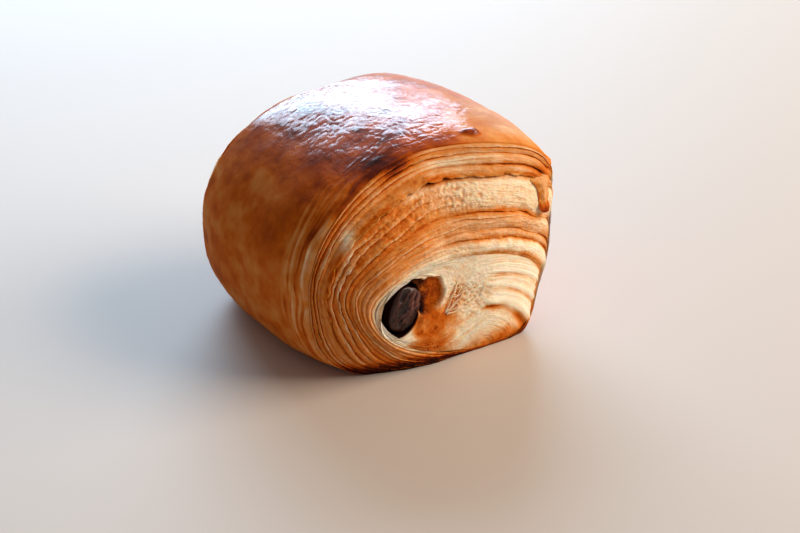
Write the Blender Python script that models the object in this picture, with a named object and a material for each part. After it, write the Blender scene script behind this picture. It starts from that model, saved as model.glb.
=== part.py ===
"""Pain au chocolat: a roll of laminated dough, baked round one bar of dark chocolate.

X runs across the roll, Y along it and Z up. The end at -Y is the cut end that shows the bar.
The roll stands on the flat that its own weight gave it, and the origin is the middle of that flat.
The dough is one closed skin of rings: out over the front end, back along the crust, in over the
back end, and home along the channel that holds the bar.
"""

import math

import bmesh
import bpy
import numpy as np

# Roll
LENGTH = 0.0807
HALF_WIDTH_LEFT = 0.0395
HALF_WIDTH_RIGHT = 0.0414
AXIS_HEIGHT = 0.0287
HEIGHT_OVER_AXIS = 0.0310
SAG_UNDER_BASE = 0.0018  # how far the round section would reach below the flat
BULGE = 0.079  # share by which the middle of the roll is fuller than its ends
BULGE_FLATNESS = 2.5
SQUARENESS = {"top_left": 1.92, "top_right": 3.43, "bottom_left": 3.11, "bottom_right": 3.08}

# How far the rim of each end stands back from the middle of that end
FRONT_RECESS = {"left": 0.0112, "right": 0.0077, "top": 0.0151, "bottom": 0.0017}
BACK_RECESS = {"left": 0.0144, "right": 0.0129, "top": 0.0141, "bottom": 0.0045}
CORNER_RECESS = {"top_left": -0.0004, "top_right": -0.0024, "bottom_left": 0.0026, "bottom_right": -0.0038}
DOME_POWER = 1.8

# Wraps of dough that show as steps on each end
WRAPS = 8
GROOVE_DEPTH = 0.0015
LIP_HEIGHT = 0.0004
GROOVE_SHARE = 0.22  # half the width of a groove, as a share of one wrap
WRAP_WAVE = 0.10

# Heart: the oval of crumb that the wraps go round
HEART_CENTRE = (-0.0050, 0.0200)
HEART_RADII = (0.0172, 0.0110)
HEART_SQUARENESS = 2.3
HEART_DIP = 0.0010
SWIRL_HEIGHT = 0.0006
SWIRL_FOLDS = 3
SWIRL_TURN = 6.0  # radians that the folds turn on the way out

# Bar of chocolate and the channel round it
BAR_CENTRE = (-0.0134, 0.0208)
BAR_HALF_WIDTH = 0.0048
BAR_HALF_HEIGHT = 0.0070
BAR_SQUARENESS = 2.8
BAR_TILT = math.radians(-20.0)
BAR_SET_BACK = 0.0013
BAR_END_ROUND = 0.0012
BAR_GAP = 0.00035
MOUTH_CENTRE = (-0.0148, 0.0212)
MOUTH_RADII = (0.0069, 0.0084)
MOUTH_DEPTH = 0.0045

# Where the section is fuller or leaner than its squared oval: (angle, width, share of the radius)
SWELLS = {
    "crease over the tail": (math.radians(-26.0), math.radians(14.0), -0.085),
    "tail of the sheet": (math.radians(-46.0), math.radians(9.0), 0.030),
    "lip of the last wrap": (math.radians(28.0), math.radians(11.0), 0.032),
    "hollow under the lip": (math.radians(2.0), math.radians(12.0), -0.012),
}

# Rings and points
COLUMNS = 54
CRUST_RINGS = 13
HEART_RINGS = 4
BAR_END_RINGS = 3


def material(name, colour, roughness):
    """A plain Principled material."""
    made = bpy.data.materials.new(name)
    made.use_nodes = True
    shader = made.node_tree.nodes["Principled BSDF"]
    shader.inputs["Base Color"].default_value = (*colour, 1.0)
    shader.inputs["Roughness"].default_value = roughness
    shader.inputs["Metallic"].default_value = 0.0
    return made


def by_side(angle, sizes):
    """Blends one size for each side of the roll round the angle, which is 0 at +X and grows towards +Z."""
    across, up = np.cos(angle), np.sin(angle)
    shares = {
        "left": np.clip(-across, 0, 1) ** 2,
        "right": np.clip(across, 0, 1) ** 2,
        "top": np.clip(up, 0, 1) ** 2,
        "bottom": np.clip(-up, 0, 1) ** 2,
    }
    blended = sum(shares[side] * sizes[side] for side in shares)
    for corner, extra in CORNER_RECESS.items():
        vertical, horizontal = corner.split("_")
        blended += 4 * shares[vertical] * shares[horizontal] * extra
    return blended


def bump(angle, centre, width):
    """1 at the centre angle, falling to 0 over the width."""
    off = (angle - centre + math.pi) % (2 * math.pi) - math.pi
    return np.exp(-((off / width) ** 2))


def outline(angle):
    """(x, z) of the roll's section at its rim, flat where it rests."""
    across, up = np.cos(angle), np.sin(angle)
    top = np.where(across < 0, SQUARENESS["top_left"], SQUARENESS["top_right"])
    bottom = np.where(across < 0, SQUARENESS["bottom_left"], SQUARENESS["bottom_right"])
    power = np.where(up >= 0, top, bottom)
    width = np.where(across < 0, HALF_WIDTH_LEFT, HALF_WIDTH_RIGHT)
    height = np.where(up < 0, AXIS_HEIGHT + SAG_UNDER_BASE, HEIGHT_OVER_AXIS)
    radius = ((np.abs(across) / width) ** power + (np.abs(up) / height) ** power) ** (-1 / power)
    radius = radius * (1 + sum(share * bump(angle, at, width) for at, width, share in SWELLS.values()))
    return radius * across, np.maximum(AXIS_HEIGHT + radius * up, 0)


def oval(angle, centre, radii, power=2.0, tilt=0.0):
    """(x, z) of a superellipse, turned by the tilt."""
    across, up = np.cos(angle - tilt), np.sin(angle - tilt)
    radius = ((np.abs(across) / radii[0]) ** power + (np.abs(up) / radii[1]) ** power) ** (-1 / power)
    return centre[0] + radius * np.cos(angle), centre[1] + radius * np.sin(angle)


def heart(angle):
    """(x, z) of the oval of crumb that the wraps go round."""
    return oval(angle, HEART_CENTRE, HEART_RADII, HEART_SQUARENESS)


def mouth(angle):
    """(x, z) of the opening that the bar lies in, at the face of an end."""
    return oval(angle, MOUTH_CENTRE, MOUTH_RADII, tilt=BAR_TILT)


def bar_section(angle, gap=0.0):
    """(x, z) of the bar's section, or of the channel when a gap is given."""
    radii = (BAR_HALF_WIDTH + gap, BAR_HALF_HEIGHT + gap)
    return oval(angle, BAR_CENTRE, radii, BAR_SQUARENESS, BAR_TILT)


def ring(section, y):
    """Points of one ring, from a section's (x, z) and its place along the roll."""
    x, z = section
    return np.stack([x, np.broadcast_to(y, np.shape(x)), z], axis=-1)


def blend(inner, outer, share):
    """The section part of the way from the inner one to the outer one."""
    return tuple(a + (b - a) * share for a, b in zip(inner, outer))


def wrap_edges(angle):
    """Yields (share of the way out, height of the relief) for each ring that shapes the wraps."""
    for wrap in range(1, WRAPS):
        wave = np.sin(3 * angle + 1.7 * wrap) + 0.6 * np.sin(5 * angle - 2.3 * wrap)
        edge = wrap + WRAP_WAVE * wave
        deep = GROOVE_DEPTH * (0.8 + 0.2 * np.sin(2 * angle + wrap))
        yield (edge - GROOVE_SHARE) / WRAPS, LIP_HEIGHT
        yield edge / WRAPS, -deep
        yield (edge + GROOVE_SHARE) / WRAPS, 0.0


def crumb_relief(angle, share):
    """Height of the crumb beside the bar, which dips and swirls where it is wide, to the right."""
    wide = math.sin(math.pi * share) * (1 + np.cos(angle)) / 2
    folds = SWIRL_HEIGHT * np.sin(SWIRL_FOLDS * angle + SWIRL_TURN * share)
    return wide * (folds - HEART_DIP)


def end_rings(angle, recess_sizes, sign):
    """Rings of one end, from the mouth out to the rim. The sign is -1 for the front and 1 for the back."""
    recess = by_side(angle, recess_sizes)
    rings = [ring(mouth(angle), sign * LENGTH / 2)]
    for step in range(1, HEART_RINGS + 1):
        share = step / (HEART_RINGS + 1)
        section = blend(mouth(angle), heart(angle), share)
        rings.append(ring(section, sign * (LENGTH / 2 + crumb_relief(angle, share))))
    rings.append(ring(heart(angle), sign * LENGTH / 2))
    for share, relief in wrap_edges(angle):
        out = LENGTH / 2 - recess * share**DOME_POWER + relief
        rings.append(ring(blend(heart(angle), outline(angle), share), sign * out))
    rings.append(ring(outline(angle), sign * (LENGTH / 2 - recess)))
    return rings


def crust_rings(angle):
    """Rings of the crust, between the two rims."""
    front = -LENGTH / 2 + by_side(angle, FRONT_RECESS)
    back = LENGTH / 2 - by_side(angle, BACK_RECESS)
    x, z = outline(angle)
    rings = []
    for step in range(1, CRUST_RINGS + 1):
        along = 2 * step / (CRUST_RINGS + 1) - 1
        full = 1 + BULGE * (1 - abs(along) ** BULGE_FLATNESS)
        section = (x * full, np.maximum(AXIS_HEIGHT + (z - AXIS_HEIGHT) * full, 0))
        rings.append(ring(section, front + (back - front) * (along + 1) / 2))
    return rings


def channel_rings(angle):
    """Rings of the channel wall, from the back end to the front end."""
    wall = bar_section(angle, BAR_GAP)
    deep = LENGTH / 2 - MOUTH_DEPTH
    return [ring(wall, y) for y in (deep, 0.0, -deep)]


def bar_rings(angle):
    """Rings of the bar, whose two ends are rounded over."""
    end = LENGTH / 2 - BAR_SET_BACK
    half = []
    for turn in np.linspace(0, math.pi / 2, BAR_END_RINGS):
        inset = BAR_END_ROUND * (1 - math.sin(turn))
        half.append((bar_section(angle, -inset), end - BAR_END_ROUND * (1 - math.cos(turn))))
    front = [ring(section, -y) for section, y in half]
    back = [ring(section, y) for section, y in reversed(half)]
    return front + [ring(bar_section(angle), 0.0)] + back


def loft(name, rings, finish, joined):
    """A closed solid through the rings. Joined ends make it run round like a tube bent on itself."""
    shape = bmesh.new()
    rows = [[shape.verts.new(point) for point in points] for points in rings]
    pairs = list(zip(rows, rows[1:]))
    if joined:
        pairs.append((rows[-1], rows[0]))
    else:
        shape.faces.new(rows[0])
        shape.faces.new(reversed(rows[-1]))
    for near, far in pairs:
        for column in range(len(near)):
            following = (column + 1) % len(near)
            shape.faces.new((near[column], near[following], far[following], far[column]))
    bmesh.ops.recalc_face_normals(shape, faces=shape.faces)
    mesh = bpy.data.meshes.new(name)
    shape.to_mesh(mesh)
    shape.free()
    mesh.shade_smooth()
    mesh.set_sharp_from_angle(angle=math.radians(50))
    mesh.materials.append(finish)
    solid = bpy.data.objects.new(name, mesh)
    bpy.context.collection.objects.link(solid)
    return solid


def middle(rings):
    """The point on the ground under the middle of the rings' box."""
    points = np.concatenate(rings)
    centre = (points.min(axis=0) + points.max(axis=0)) / 2
    return (centre[0], centre[1], 0.0)


def main():
    """Clears the scene and builds the pastry and its bar of chocolate."""
    for item in list(bpy.data.objects):
        bpy.data.objects.remove(item, do_unlink=True)
    angle = np.linspace(0, 2 * math.pi, COLUMNS, endpoint=False)
    skin = end_rings(angle, FRONT_RECESS, -1) + crust_rings(angle)
    skin += reversed(end_rings(angle, BACK_RECESS, 1))
    skin += channel_rings(angle)
    origin = middle(skin)
    crumb = material("golden_pastry", (0.55, 0.24, 0.07), 0.45)
    dark = material("dark_chocolate", (0.03, 0.012, 0.008), 0.30)
    loft("pastry", [points - origin for points in skin], crumb, joined=True)
    loft("chocolate_bar", [points - origin for points in bar_rings(angle)], dark, joined=False)


if __name__ == "__main__":
    main()
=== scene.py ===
"""The looks of a pain au chocolat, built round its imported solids.

Sizes are in the roll's own millimetres: x across the roll, y along it from the front end, which shows the
bar, to the back end, and z up. Angles go round the roll from +x towards +z. `RollForm.place` turns these
millimetres into the frame's metres. A place on an end is given by its angle and its share: 0 where the wraps
meet the heart of the roll, and 1 at the rim, where the crust turns over.
"""

from __future__ import annotations

import itertools
import logging
import math
from dataclasses import dataclass, field, replace
from enum import Enum
from functools import cached_property

import bpy
import numpy as np
from mathutils import Matrix, Vector


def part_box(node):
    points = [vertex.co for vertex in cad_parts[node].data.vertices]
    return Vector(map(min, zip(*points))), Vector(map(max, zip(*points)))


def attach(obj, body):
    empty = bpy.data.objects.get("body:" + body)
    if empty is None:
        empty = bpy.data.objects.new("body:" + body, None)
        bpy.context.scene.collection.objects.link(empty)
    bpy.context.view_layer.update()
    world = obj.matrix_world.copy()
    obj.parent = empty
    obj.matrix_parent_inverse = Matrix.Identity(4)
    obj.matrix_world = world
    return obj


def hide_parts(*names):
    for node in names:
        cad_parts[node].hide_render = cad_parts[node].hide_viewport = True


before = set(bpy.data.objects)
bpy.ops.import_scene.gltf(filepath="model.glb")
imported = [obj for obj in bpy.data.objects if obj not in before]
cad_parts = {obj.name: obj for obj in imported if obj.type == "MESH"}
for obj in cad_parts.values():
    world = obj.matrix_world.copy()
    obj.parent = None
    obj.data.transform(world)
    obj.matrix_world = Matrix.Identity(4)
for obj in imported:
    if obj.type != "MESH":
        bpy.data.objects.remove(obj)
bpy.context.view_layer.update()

LOG = logging.getLogger("pain_au_chocolat")
MM = 0.001
FULL_TURN = 2 * math.pi
Array = np.ndarray
Section = tuple[Array, Array]
Place = tuple[float, float]


class Face(Enum):
    """One of the two ends of the roll. The value is the way it looks along y."""

    FRONT = -1
    BACK = 1


def bump(angle: Array, centre: float, width: float) -> Array:
    """Rises to 1 at one angle and falls to 0 on both sides of it.

    Args:
        angle: Angles in radians.
        centre: Where the bump is, in degrees.
        width: How far from there it has fallen to a third, in degrees.

    Returns:
        The height of the bump at each angle.
    """
    off = (angle - math.radians(centre) + math.pi) % FULL_TURN - math.pi
    return np.exp(-((off / math.radians(width)) ** 2))


def ease(value: Array, low: float, high: float) -> Array:
    """Goes smoothly from 0 at `low` to 1 at `high`."""
    share = np.clip((value - low) / (high - low), 0, 1)
    return share * share * (3 - 2 * share)


def spot(x: Array, z: Array, centre: Place, radii: Place, tilt: float = 0.0) -> Array:
    """Rises to 1 in the middle of a tilted oval and falls to 0 round it.

    Args:
        x: Places across the roll.
        z: Heights.
        centre: Middle of the oval, as (x, z).
        radii: Half sizes of the oval.
        tilt: How far the oval is turned, in degrees.

    Returns:
        The height of the spot at each place.
    """
    cos, sin = math.cos(math.radians(tilt)), math.sin(math.radians(tilt))
    across, up = x - centre[0], z - centre[1]
    first = (across * cos + up * sin) / radii[0]
    second = (up * cos - across * sin) / radii[1]
    return np.exp(-(first**2 + second**2))


def oval(angle: Array, centre: Place, radii: Place, power: float, tilt: float) -> Section:
    """Works out a squared oval.

    Args:
        angle: Angles about the middle of the oval.
        centre: Middle, as (x, z).
        radii: Half sizes.
        power: 2 for an ellipse, more for a squarer form.
        tilt: How far the oval is turned, in degrees.

    Returns:
        The x and z of each point.
    """
    turned = angle - math.radians(tilt)
    across, up = np.abs(np.cos(turned)) / radii[0], np.abs(np.sin(turned)) / radii[1]
    radius = (across**power + up**power) ** (-1 / power)
    return centre[0] + radius * np.cos(angle), centre[1] + radius * np.sin(angle)


def between(inner: Section, outer: Section, share: Array | float) -> Section:
    """The section part of the way from the inner one to the outer one."""
    return inner[0] + (outer[0] - inner[0]) * share, inner[1] + (outer[1] - inner[1]) * share


class Field:
    """Smooth random fields that are the same on every run."""

    SIDE = 64

    def __init__(self, seed: int) -> None:
        """Draws the random table that one field is read from.

        Args:
            seed: Picks one field out of many.
        """
        self.table = np.random.default_rng(seed).random((self.SIDE, self.SIDE, self.SIDE)) * 2 - 1

    def smooth(self, *axes: Array) -> Array:
        """One octave of noise.

        Args:
            axes: Two or three coordinates, in units of the noise's own size.

        Returns:
            Values from -1 to 1.
        """
        places = np.broadcast_arrays(*axes, *([np.zeros(1)] * (3 - len(axes))))
        cells = [np.floor(place).astype(int) for place in places]
        parts = [place - cell for place, cell in zip(places, cells)]
        parts = [part * part * (3 - 2 * part) for part in parts]
        total = np.zeros(places[0].shape)
        for corner in itertools.product((0, 1), repeat=3):
            weight = np.ones(places[0].shape)
            for part, side in zip(parts, corner):
                weight = weight * (part if side else 1 - part)
            index = tuple((cell + side) % self.SIDE for cell, side in zip(cells, corner))
            total += weight * self.table[index]
        return total

    def rough(self, *axes: Array, octaves: int = 4) -> Array:
        """Several octaves of noise, each half the size and half the height of the one before."""
        total = np.zeros(np.broadcast(*axes).shape)
        for octave in range(octaves):
            scale = 2.0**octave
            total = total + self.smooth(*[axis * scale + 7.3 * octave for axis in axes]) / scale
        return total / 1.6

    def cells(self, first: Array, second: Array) -> Array:
        """Distance to the nearest of a scatter of points, one in each unit square.

        Args:
            first: First coordinate, in units of the squares.
            second: Second coordinate.

        Returns:
            Distances, 0 at a point and about 0.7 between points.
        """
        first, second = np.broadcast_arrays(first, second)
        low = np.floor(first).astype(int), np.floor(second).astype(int)
        nearest = np.full(first.shape, 9.0)
        for step in itertools.product((-1, 0, 1), repeat=2):
            index = (low[0] + step[0]) % self.SIDE, (low[1] + step[1]) % self.SIDE
            away_first = low[0] + step[0] + self.table[(*index, 0)] / 2 + 0.5 - first
            away_second = low[1] + step[1] + self.table[(*index, 1)] / 2 + 0.5 - second
            nearest = np.minimum(nearest, np.hypot(away_first, away_second))
        return nearest


@dataclass(frozen=True)
class Sides:
    """One size for each of the four sides of an end."""

    left: float
    right: float
    top: float
    bottom: float

    def at(self, angle: Array) -> Array:
        """Blends the four sizes round the roll."""
        across, up = np.cos(angle), np.sin(angle)
        size = np.clip(-across, 0, 1) ** 2 * self.left + np.clip(across, 0, 1) ** 2 * self.right
        return size + np.clip(up, 0, 1) ** 2 * self.top + np.clip(-up, 0, 1) ** 2 * self.bottom


@dataclass(frozen=True)
class RollForm:
    """The outer form of the roll: its section, its crust and its two domed ends."""

    length: float = 80.7
    half_left: float = 39.55
    half_right: float = 41.38
    axis: float = 28.72
    over_axis: float = 30.97
    under_axis: float = 30.52
    squareness: tuple[float, float, float, float] = (1.92, 3.43, 3.11, 3.08)
    bulge: float = 0.079
    bulge_flatness: float = 2.5
    swells: tuple[tuple[float, float, float], ...] = (
        (-26.0, 14.0, -0.085),
        (-46.0, 9.0, 0.030),
        (28.0, 11.0, 0.032),
        (2.0, 12.0, -0.012),
    )
    front_recess: Sides = Sides(11.2, 7.7, 15.1, 1.7)
    back_recess: Sides = Sides(14.4, 12.9, 14.1, 4.5)
    corner_recess: tuple[float, float, float, float] = (-0.4, -2.4, 2.6, -3.8)
    flat_middle: Sides = Sides(0.49, 0.25, 0.05, 0.65)
    dome_power: float = 1.8
    heart_centre: Place = (7.4, 16.35)
    heart_radii: Place = (31.9, 14.85)
    heart_power: float = 1.95
    heart_tilt: float = -12.2
    wrap_reach: float = 62.0
    wrap_squareness: float = 1.65
    soft_edge: float = 0.03

    def radius(self, angle: Array) -> Array:
        """Distance from the roll's axis to its rim."""
        across, up = np.cos(angle), np.sin(angle)
        top_left, top_right, bottom_left, bottom_right = self.squareness
        over = np.where(across < 0, top_left, top_right)
        under = np.where(across < 0, bottom_left, bottom_right)
        power = np.where(up >= 0, over, under)
        width = np.where(across < 0, self.half_left, self.half_right)
        height = np.where(up < 0, self.under_axis, self.over_axis)
        radius = ((np.abs(across) / width) ** power + (np.abs(up) / height) ** power) ** (-1 / power)
        return radius * (1 + sum(share * bump(angle, at, width) for at, width, share in self.swells))

    def rim(self, angle: Array) -> Section:
        """The section at the rim, flat where the roll stands."""
        radius = self.radius(angle)
        return radius * np.cos(angle), np.maximum(self.axis + radius * np.sin(angle), 0)

    def heart(self, angle: Array) -> Section:
        """The line round the heart of the roll. On the right it runs out past the rim."""
        return oval(angle, self.heart_centre, self.heart_radii, self.heart_power, self.heart_tilt)

    def last_wrap(self, angle: Array) -> Section:
        """The line that the outermost wrap follows: the rim, or past it on the right."""
        radii = np.where(np.cos(angle) < 0, self.half_left, self.wrap_reach), self.over_axis
        x, z = oval(angle, (0.0, self.axis), radii, self.wrap_squareness, 0)
        gauge = self.gauge(x, z)
        reach = np.where(np.cos(angle) > 0, np.maximum(gauge, 1), 1) / gauge
        return x * reach, self.axis + (z - self.axis) * reach

    def hold_in(self, x: Array, z: Array) -> Section:
        """Brings places past the rim back to just inside it."""
        gauge = self.gauge(x, z)
        start = 1 - self.soft_edge
        over = np.maximum(gauge - start, 0) / self.soft_edge
        held = np.where(gauge > start, start + self.soft_edge * 0.8 * (1 - np.exp(-over)), gauge) / gauge
        return x * held, np.maximum(self.axis + (z - self.axis) * held, 0.1)

    def gauge(self, x: Array, z: Array) -> Array:
        """Distance from the axis as a share of the distance to the rim."""
        return np.hypot(x, z - self.axis) / self.radius(np.arctan2(z - self.axis, x))

    def dome(self, x: Array, z: Array, face: Face) -> Array:
        """How far the surface of an end stands back from its middle.

        Args:
            x: Places across the roll.
            z: Heights above the ground.
            face: Which end.

        Returns:
            Distances along the roll.
        """
        angle = np.arctan2(z - self.axis, x)
        left, right = np.clip(-np.cos(angle), 0, 1) ** 2, np.clip(np.cos(angle), 0, 1) ** 2
        top, bottom = np.clip(np.sin(angle), 0, 1) ** 2, np.clip(-np.sin(angle), 0, 1) ** 2
        pairs = (left * top, right * top, left * bottom, right * bottom)
        recess = (self.front_recess if face is Face.FRONT else self.back_recess).at(angle)
        recess = recess + 4 * sum(pair * extra for pair, extra in zip(pairs, self.corner_recess))
        flat = self.flat_middle.at(angle)
        return recess * np.clip((self.gauge(x, z) - flat) / (1 - flat), 0, 1.3) ** self.dome_power

    def on_end(self, x: Array, z: Array, face: Face, height: Array | float = 0.0) -> Array:
        """Points over the surface of an end.

        Args:
            x: Places across the roll.
            z: Heights above the ground.
            face: Which end.
            height: How far the points stand out of the surface.

        Returns:
            Points in millimetres, with x, y and z in the last axis.
        """
        step = 0.2
        slope_x = (self.dome(x + step, z, face) - self.dome(x - step, z, face)) / (2 * step)
        slope_z = (self.dome(x, z + step, face) - self.dome(x, z - step, face)) / (2 * step)
        out = height / np.sqrt(slope_x**2 + slope_z**2 + 1)
        y = face.value * (self.length / 2 - self.dome(x, z, face) + out)
        return np.stack(np.broadcast_arrays(x + out * slope_x, y, np.maximum(z + out * slope_z, 0)), -1)

    def on_crust(self, angle: Array, along: Array | float, height: Array | float = 0.0) -> Array:
        """Points over the crust.

        Args:
            angle: Angles round the roll.
            along: -1 at the front rim and 1 at the back rim.
            height: How far the points stand out of the surface.

        Returns:
            Points in millimetres, with x, y and z in the last axis.
        """
        x, z = self.rim(angle)
        front = -self.length / 2 + self.dome(x, z, Face.FRONT)
        back = self.length / 2 - self.dome(x, z, Face.BACK)
        full = 1 + self.bulge * (1 - np.abs(along) ** self.bulge_flatness)
        y = front + (back - front) * (np.asarray(along) + 1) / 2
        out_x = x * full + height * np.cos(angle)
        out_z = np.maximum(self.axis + (z - self.axis) * full + height * np.sin(angle), 0)
        return np.stack(np.broadcast_arrays(out_x, y, out_z), -1)

    def columns(self, count: int) -> Array:
        """Angles that divide the rim into equal steps."""
        fine = np.linspace(0, FULL_TURN, 4001)
        x, z = self.rim(fine)
        run = np.concatenate([[0], np.cumsum(np.hypot(np.diff(x), np.diff(z)))])
        return np.interp(np.arange(count) / count * run[-1], run, fine)

    def top_columns(self, count: int, crowd: float = 2.2) -> Array:
        """Angles that lie closer together on the top of the roll than elsewhere."""
        fine = self.columns(4000)
        weight = 1 + crowd * bump(fine, 92, 52)
        run = np.concatenate([[0], np.cumsum(weight)])
        return np.interp(np.arange(count) / count * run[-1], run, np.append(fine, FULL_TURN))

    @cached_property
    def shift(self) -> Array:
        """Moves the roll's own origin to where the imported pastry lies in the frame."""
        low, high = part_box("pastry")
        own = self.on_crust(np.linspace(0, FULL_TURN, 721), 0.0)[:, 0]
        across = (low.x + high.x) / 2 - MM * (own.min() + own.max()) / 2
        return np.array([across, (low.y + high.y) / 2, low.z])

    def place(self, points: Array) -> Array:
        """Turns the roll's millimetres into the frame's metres."""
        return points * MM + self.shift


FORM = RollForm()


def make_piece(name: str, points: Array, faces: Array, marks: dict[str, Array], sheet: Array) -> bpy.types.Object:
    """Builds one piece from its points and faces.

    Args:
        name: Name of the piece.
        points: Points in the roll's millimetres.
        faces: Four point numbers for each face.
        marks: Values of each point, by name, which the material reads.
        sheet: Place of each face corner on the flattened piece, from 0 to 1.

    Returns:
        The new object, riding on the roll.
    """
    mesh = bpy.data.meshes.new(name)
    mesh.vertices.add(len(points))
    mesh.vertices.foreach_set("co", FORM.place(points).astype(np.float32).ravel())
    mesh.loops.add(faces.size)
    mesh.loops.foreach_set("vertex_index", faces.astype(np.int32).ravel())
    mesh.polygons.add(len(faces))
    mesh.polygons.foreach_set("loop_start", np.arange(0, faces.size, 4, dtype=np.int32))
    mesh.polygons.foreach_set("loop_total", np.full(len(faces), 4, np.int32))
    mesh.update(calc_edges=True)
    mesh.validate()
    for mark, values in marks.items():
        flat = values.astype(np.float32).ravel()
        if len(flat) == len(points):
            mesh.attributes.new(mark, "FLOAT", "POINT").data.foreach_set("value", flat)
        else:
            mesh.attributes.new(mark, "FLOAT_VECTOR", "POINT").data.foreach_set("vector", flat)
    layer = mesh.uv_layers.new(name="OFBake")
    layer.uv.foreach_set("vector", sheet.astype(np.float32).ravel())
    mesh.shade_smooth()
    piece = bpy.data.objects.new(name, mesh)
    bpy.context.scene.collection.objects.link(piece)
    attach(piece, "root")
    LOG.info("%s: %d faces", name, len(faces))
    return piece


@dataclass
class Lattice:
    """A surface of rows and columns of points. The last column joins the first if it is closed."""

    name: str
    points: Array
    marks: dict[str, Array]
    closed: bool = True
    turned: bool = False
    strips: int = 4

    GUTTER = 0.004

    def build(self) -> bpy.types.Object:
        """Makes the piece, with its faces looking out."""
        rows, columns = self.points.shape[:2]
        wide = columns if self.closed else columns - 1
        row, column = np.meshgrid(np.arange(rows - 1), np.arange(wide), indexing="ij")
        ends = ((0, 0), (0, 1), (1, 1), (1, 0))
        ends = ends[::-1] if self.turned else ends
        faces = np.stack([(row + down) * columns + (column + on) % columns for down, on in ends], -1)
        sheet = np.stack([self.flat_place(row + down, column, on, wide) for down, on in ends], -2)
        marks = {
            name: np.broadcast_to(values, (rows, columns, *values.shape[2:]))
            for name, values in self.marks.items()
        }
        points = self.points.reshape(-1, 3)
        return make_piece(self.name, points, faces.reshape(-1, 4), marks, sheet.reshape(-1, 2))

    def flat_place(self, row: Array, column: Array, on: int, wide: int) -> Array:
        """Places corners on the flattened piece, which is cut into strips that lie above each other.

        Args:
            row: Rows of the corners.
            column: Columns of their faces.
            on: 1 for corners in the next column.
            wide: How many faces there are in a row.

        Returns:
            Places from 0 to 1, in the last axis.
        """
        steps = np.linalg.norm(np.diff(self.points, axis=0), axis=-1).mean(1)
        down = np.concatenate([[0], np.cumsum(steps)]) / steps.sum()
        strip = column * self.strips // wide
        across = (column + on) * self.strips / wide - strip
        height = (strip + self.GUTTER + down[row] * (1 - 2 * self.GUTTER)) / self.strips
        return np.stack([self.GUTTER + across * (1 - 2 * self.GUTTER), height], -1)


def linear(red: int, green: int, blue: int) -> tuple[float, float, float, float]:
    """Turns a colour in 0 to 255 steps into the shader's own scale."""
    parts = [part / 255 for part in (red, green, blue)]
    parts = [part / 12.92 if part <= 0.04045 else ((part + 0.055) / 1.055) ** 2.4 for part in parts]
    return (*parts, 1.0)


class Graph:
    """Adds nodes to one node tree and joins them."""

    def __init__(self, tree: bpy.types.NodeTree) -> None:
        """Empties the tree.

        Args:
            tree: The tree of a material or of a group.
        """
        self.tree = tree
        self.tree.nodes.clear()

    def add(self, kind: str, inputs: dict[str | int, object] | None = None, **settings: object) -> bpy.types.Node:
        """Adds one node.

        Args:
            kind: Blender's name for the node, without "ShaderNode" for a shader node.
            inputs: What goes into its sockets: another node's output, or a value.
            settings: Values for its own properties.

        Returns:
            The new node.
        """
        node = self.tree.nodes.new(kind if kind.startswith("NodeGroup") else "ShaderNode" + kind)
        for name, value in settings.items():
            setattr(node, name, value)
        for socket, value in (inputs or {}).items():
            self.join(value, node.inputs[socket])
        return node

    def join(self, value: object, socket: bpy.types.NodeSocket) -> None:
        """Links an output to a socket, or sets the socket's own value."""
        if isinstance(value, bpy.types.NodeSocket):
            self.tree.links.new(value, socket)
        else:
            socket.default_value = value

    def maths(self, operation: str, first: object, second: object, limit: bool = False) -> bpy.types.NodeSocket:
        """The result of one sum on two numbers or outputs."""
        return self.add("Math", {0: first, 1: second}, operation=operation, use_clamp=limit).outputs[0]

    def mark(self, name: str) -> bpy.types.NodeSocket:
        """The value that the points of a piece carry under this name."""
        return self.add("Attribute", attribute_name=name).outputs["Fac"]

    def effect(self, effect: "Effect", inputs: dict[str, object]) -> bpy.types.Node:
        """Places one of the shared shader groups, with its own values."""
        node = self.add("Group", node_tree=bpy.data.node_groups[effect.value])
        for name, value in inputs.items():
            self.join(value, node.inputs[name])
        return node

    def spread(self, value: object, ends: tuple[float, float, float, float]) -> bpy.types.NodeSocket:
        """Maps a range of a value to another one.

        Args:
            value: The output to map.
            ends: Its low and high value, and what they become.

        Returns:
            The mapped output.
        """
        names = ("From Min", "From Max", "To Min", "To Max")
        return self.add("MapRange", {"Value": value, **dict(zip(names, ends))}).outputs["Result"]


class Effect(Enum):
    """The shader groups that several finishes share."""

    BROWNING = "browning"
    GRAIN = "grain"
    LEAVES = "leaves"
    WRINKLES = "wrinkles"


BAKE_TONES = (
    (0.00, (255, 238, 212)),
    (0.15, (254, 218, 176)),
    (0.30, (233, 173, 120)),
    (0.45, (222, 138, 62)),
    (0.60, (205, 99, 15)),
    (0.75, (160, 65, 6)),
    (0.88, (100, 31, 4)),
    (1.00, (48, 12, 4)),
)


def start_group(effect: Effect, inputs: dict[str, float], output: str, kind: str) -> tuple[Graph, dict]:
    """Starts a shader group with number inputs and one output.

    Args:
        effect: Which group.
        inputs: Names and usual values of the inputs.
        output: Name of the output.
        kind: Socket type of the output.

    Returns:
        The graph of the group, and its inputs' outputs by name.
    """
    group = bpy.data.node_groups.new(effect.value, "ShaderNodeTree")
    graph = Graph(group)
    for name, value in inputs.items():
        group.interface.new_socket(name, in_out="INPUT", socket_type="NodeSocketFloat").default_value = value
    group.interface.new_socket(output, in_out="OUTPUT", socket_type=kind)
    source = graph.add("NodeGroupInput")
    return graph, {name: source.outputs[name] for name in inputs}


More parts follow.
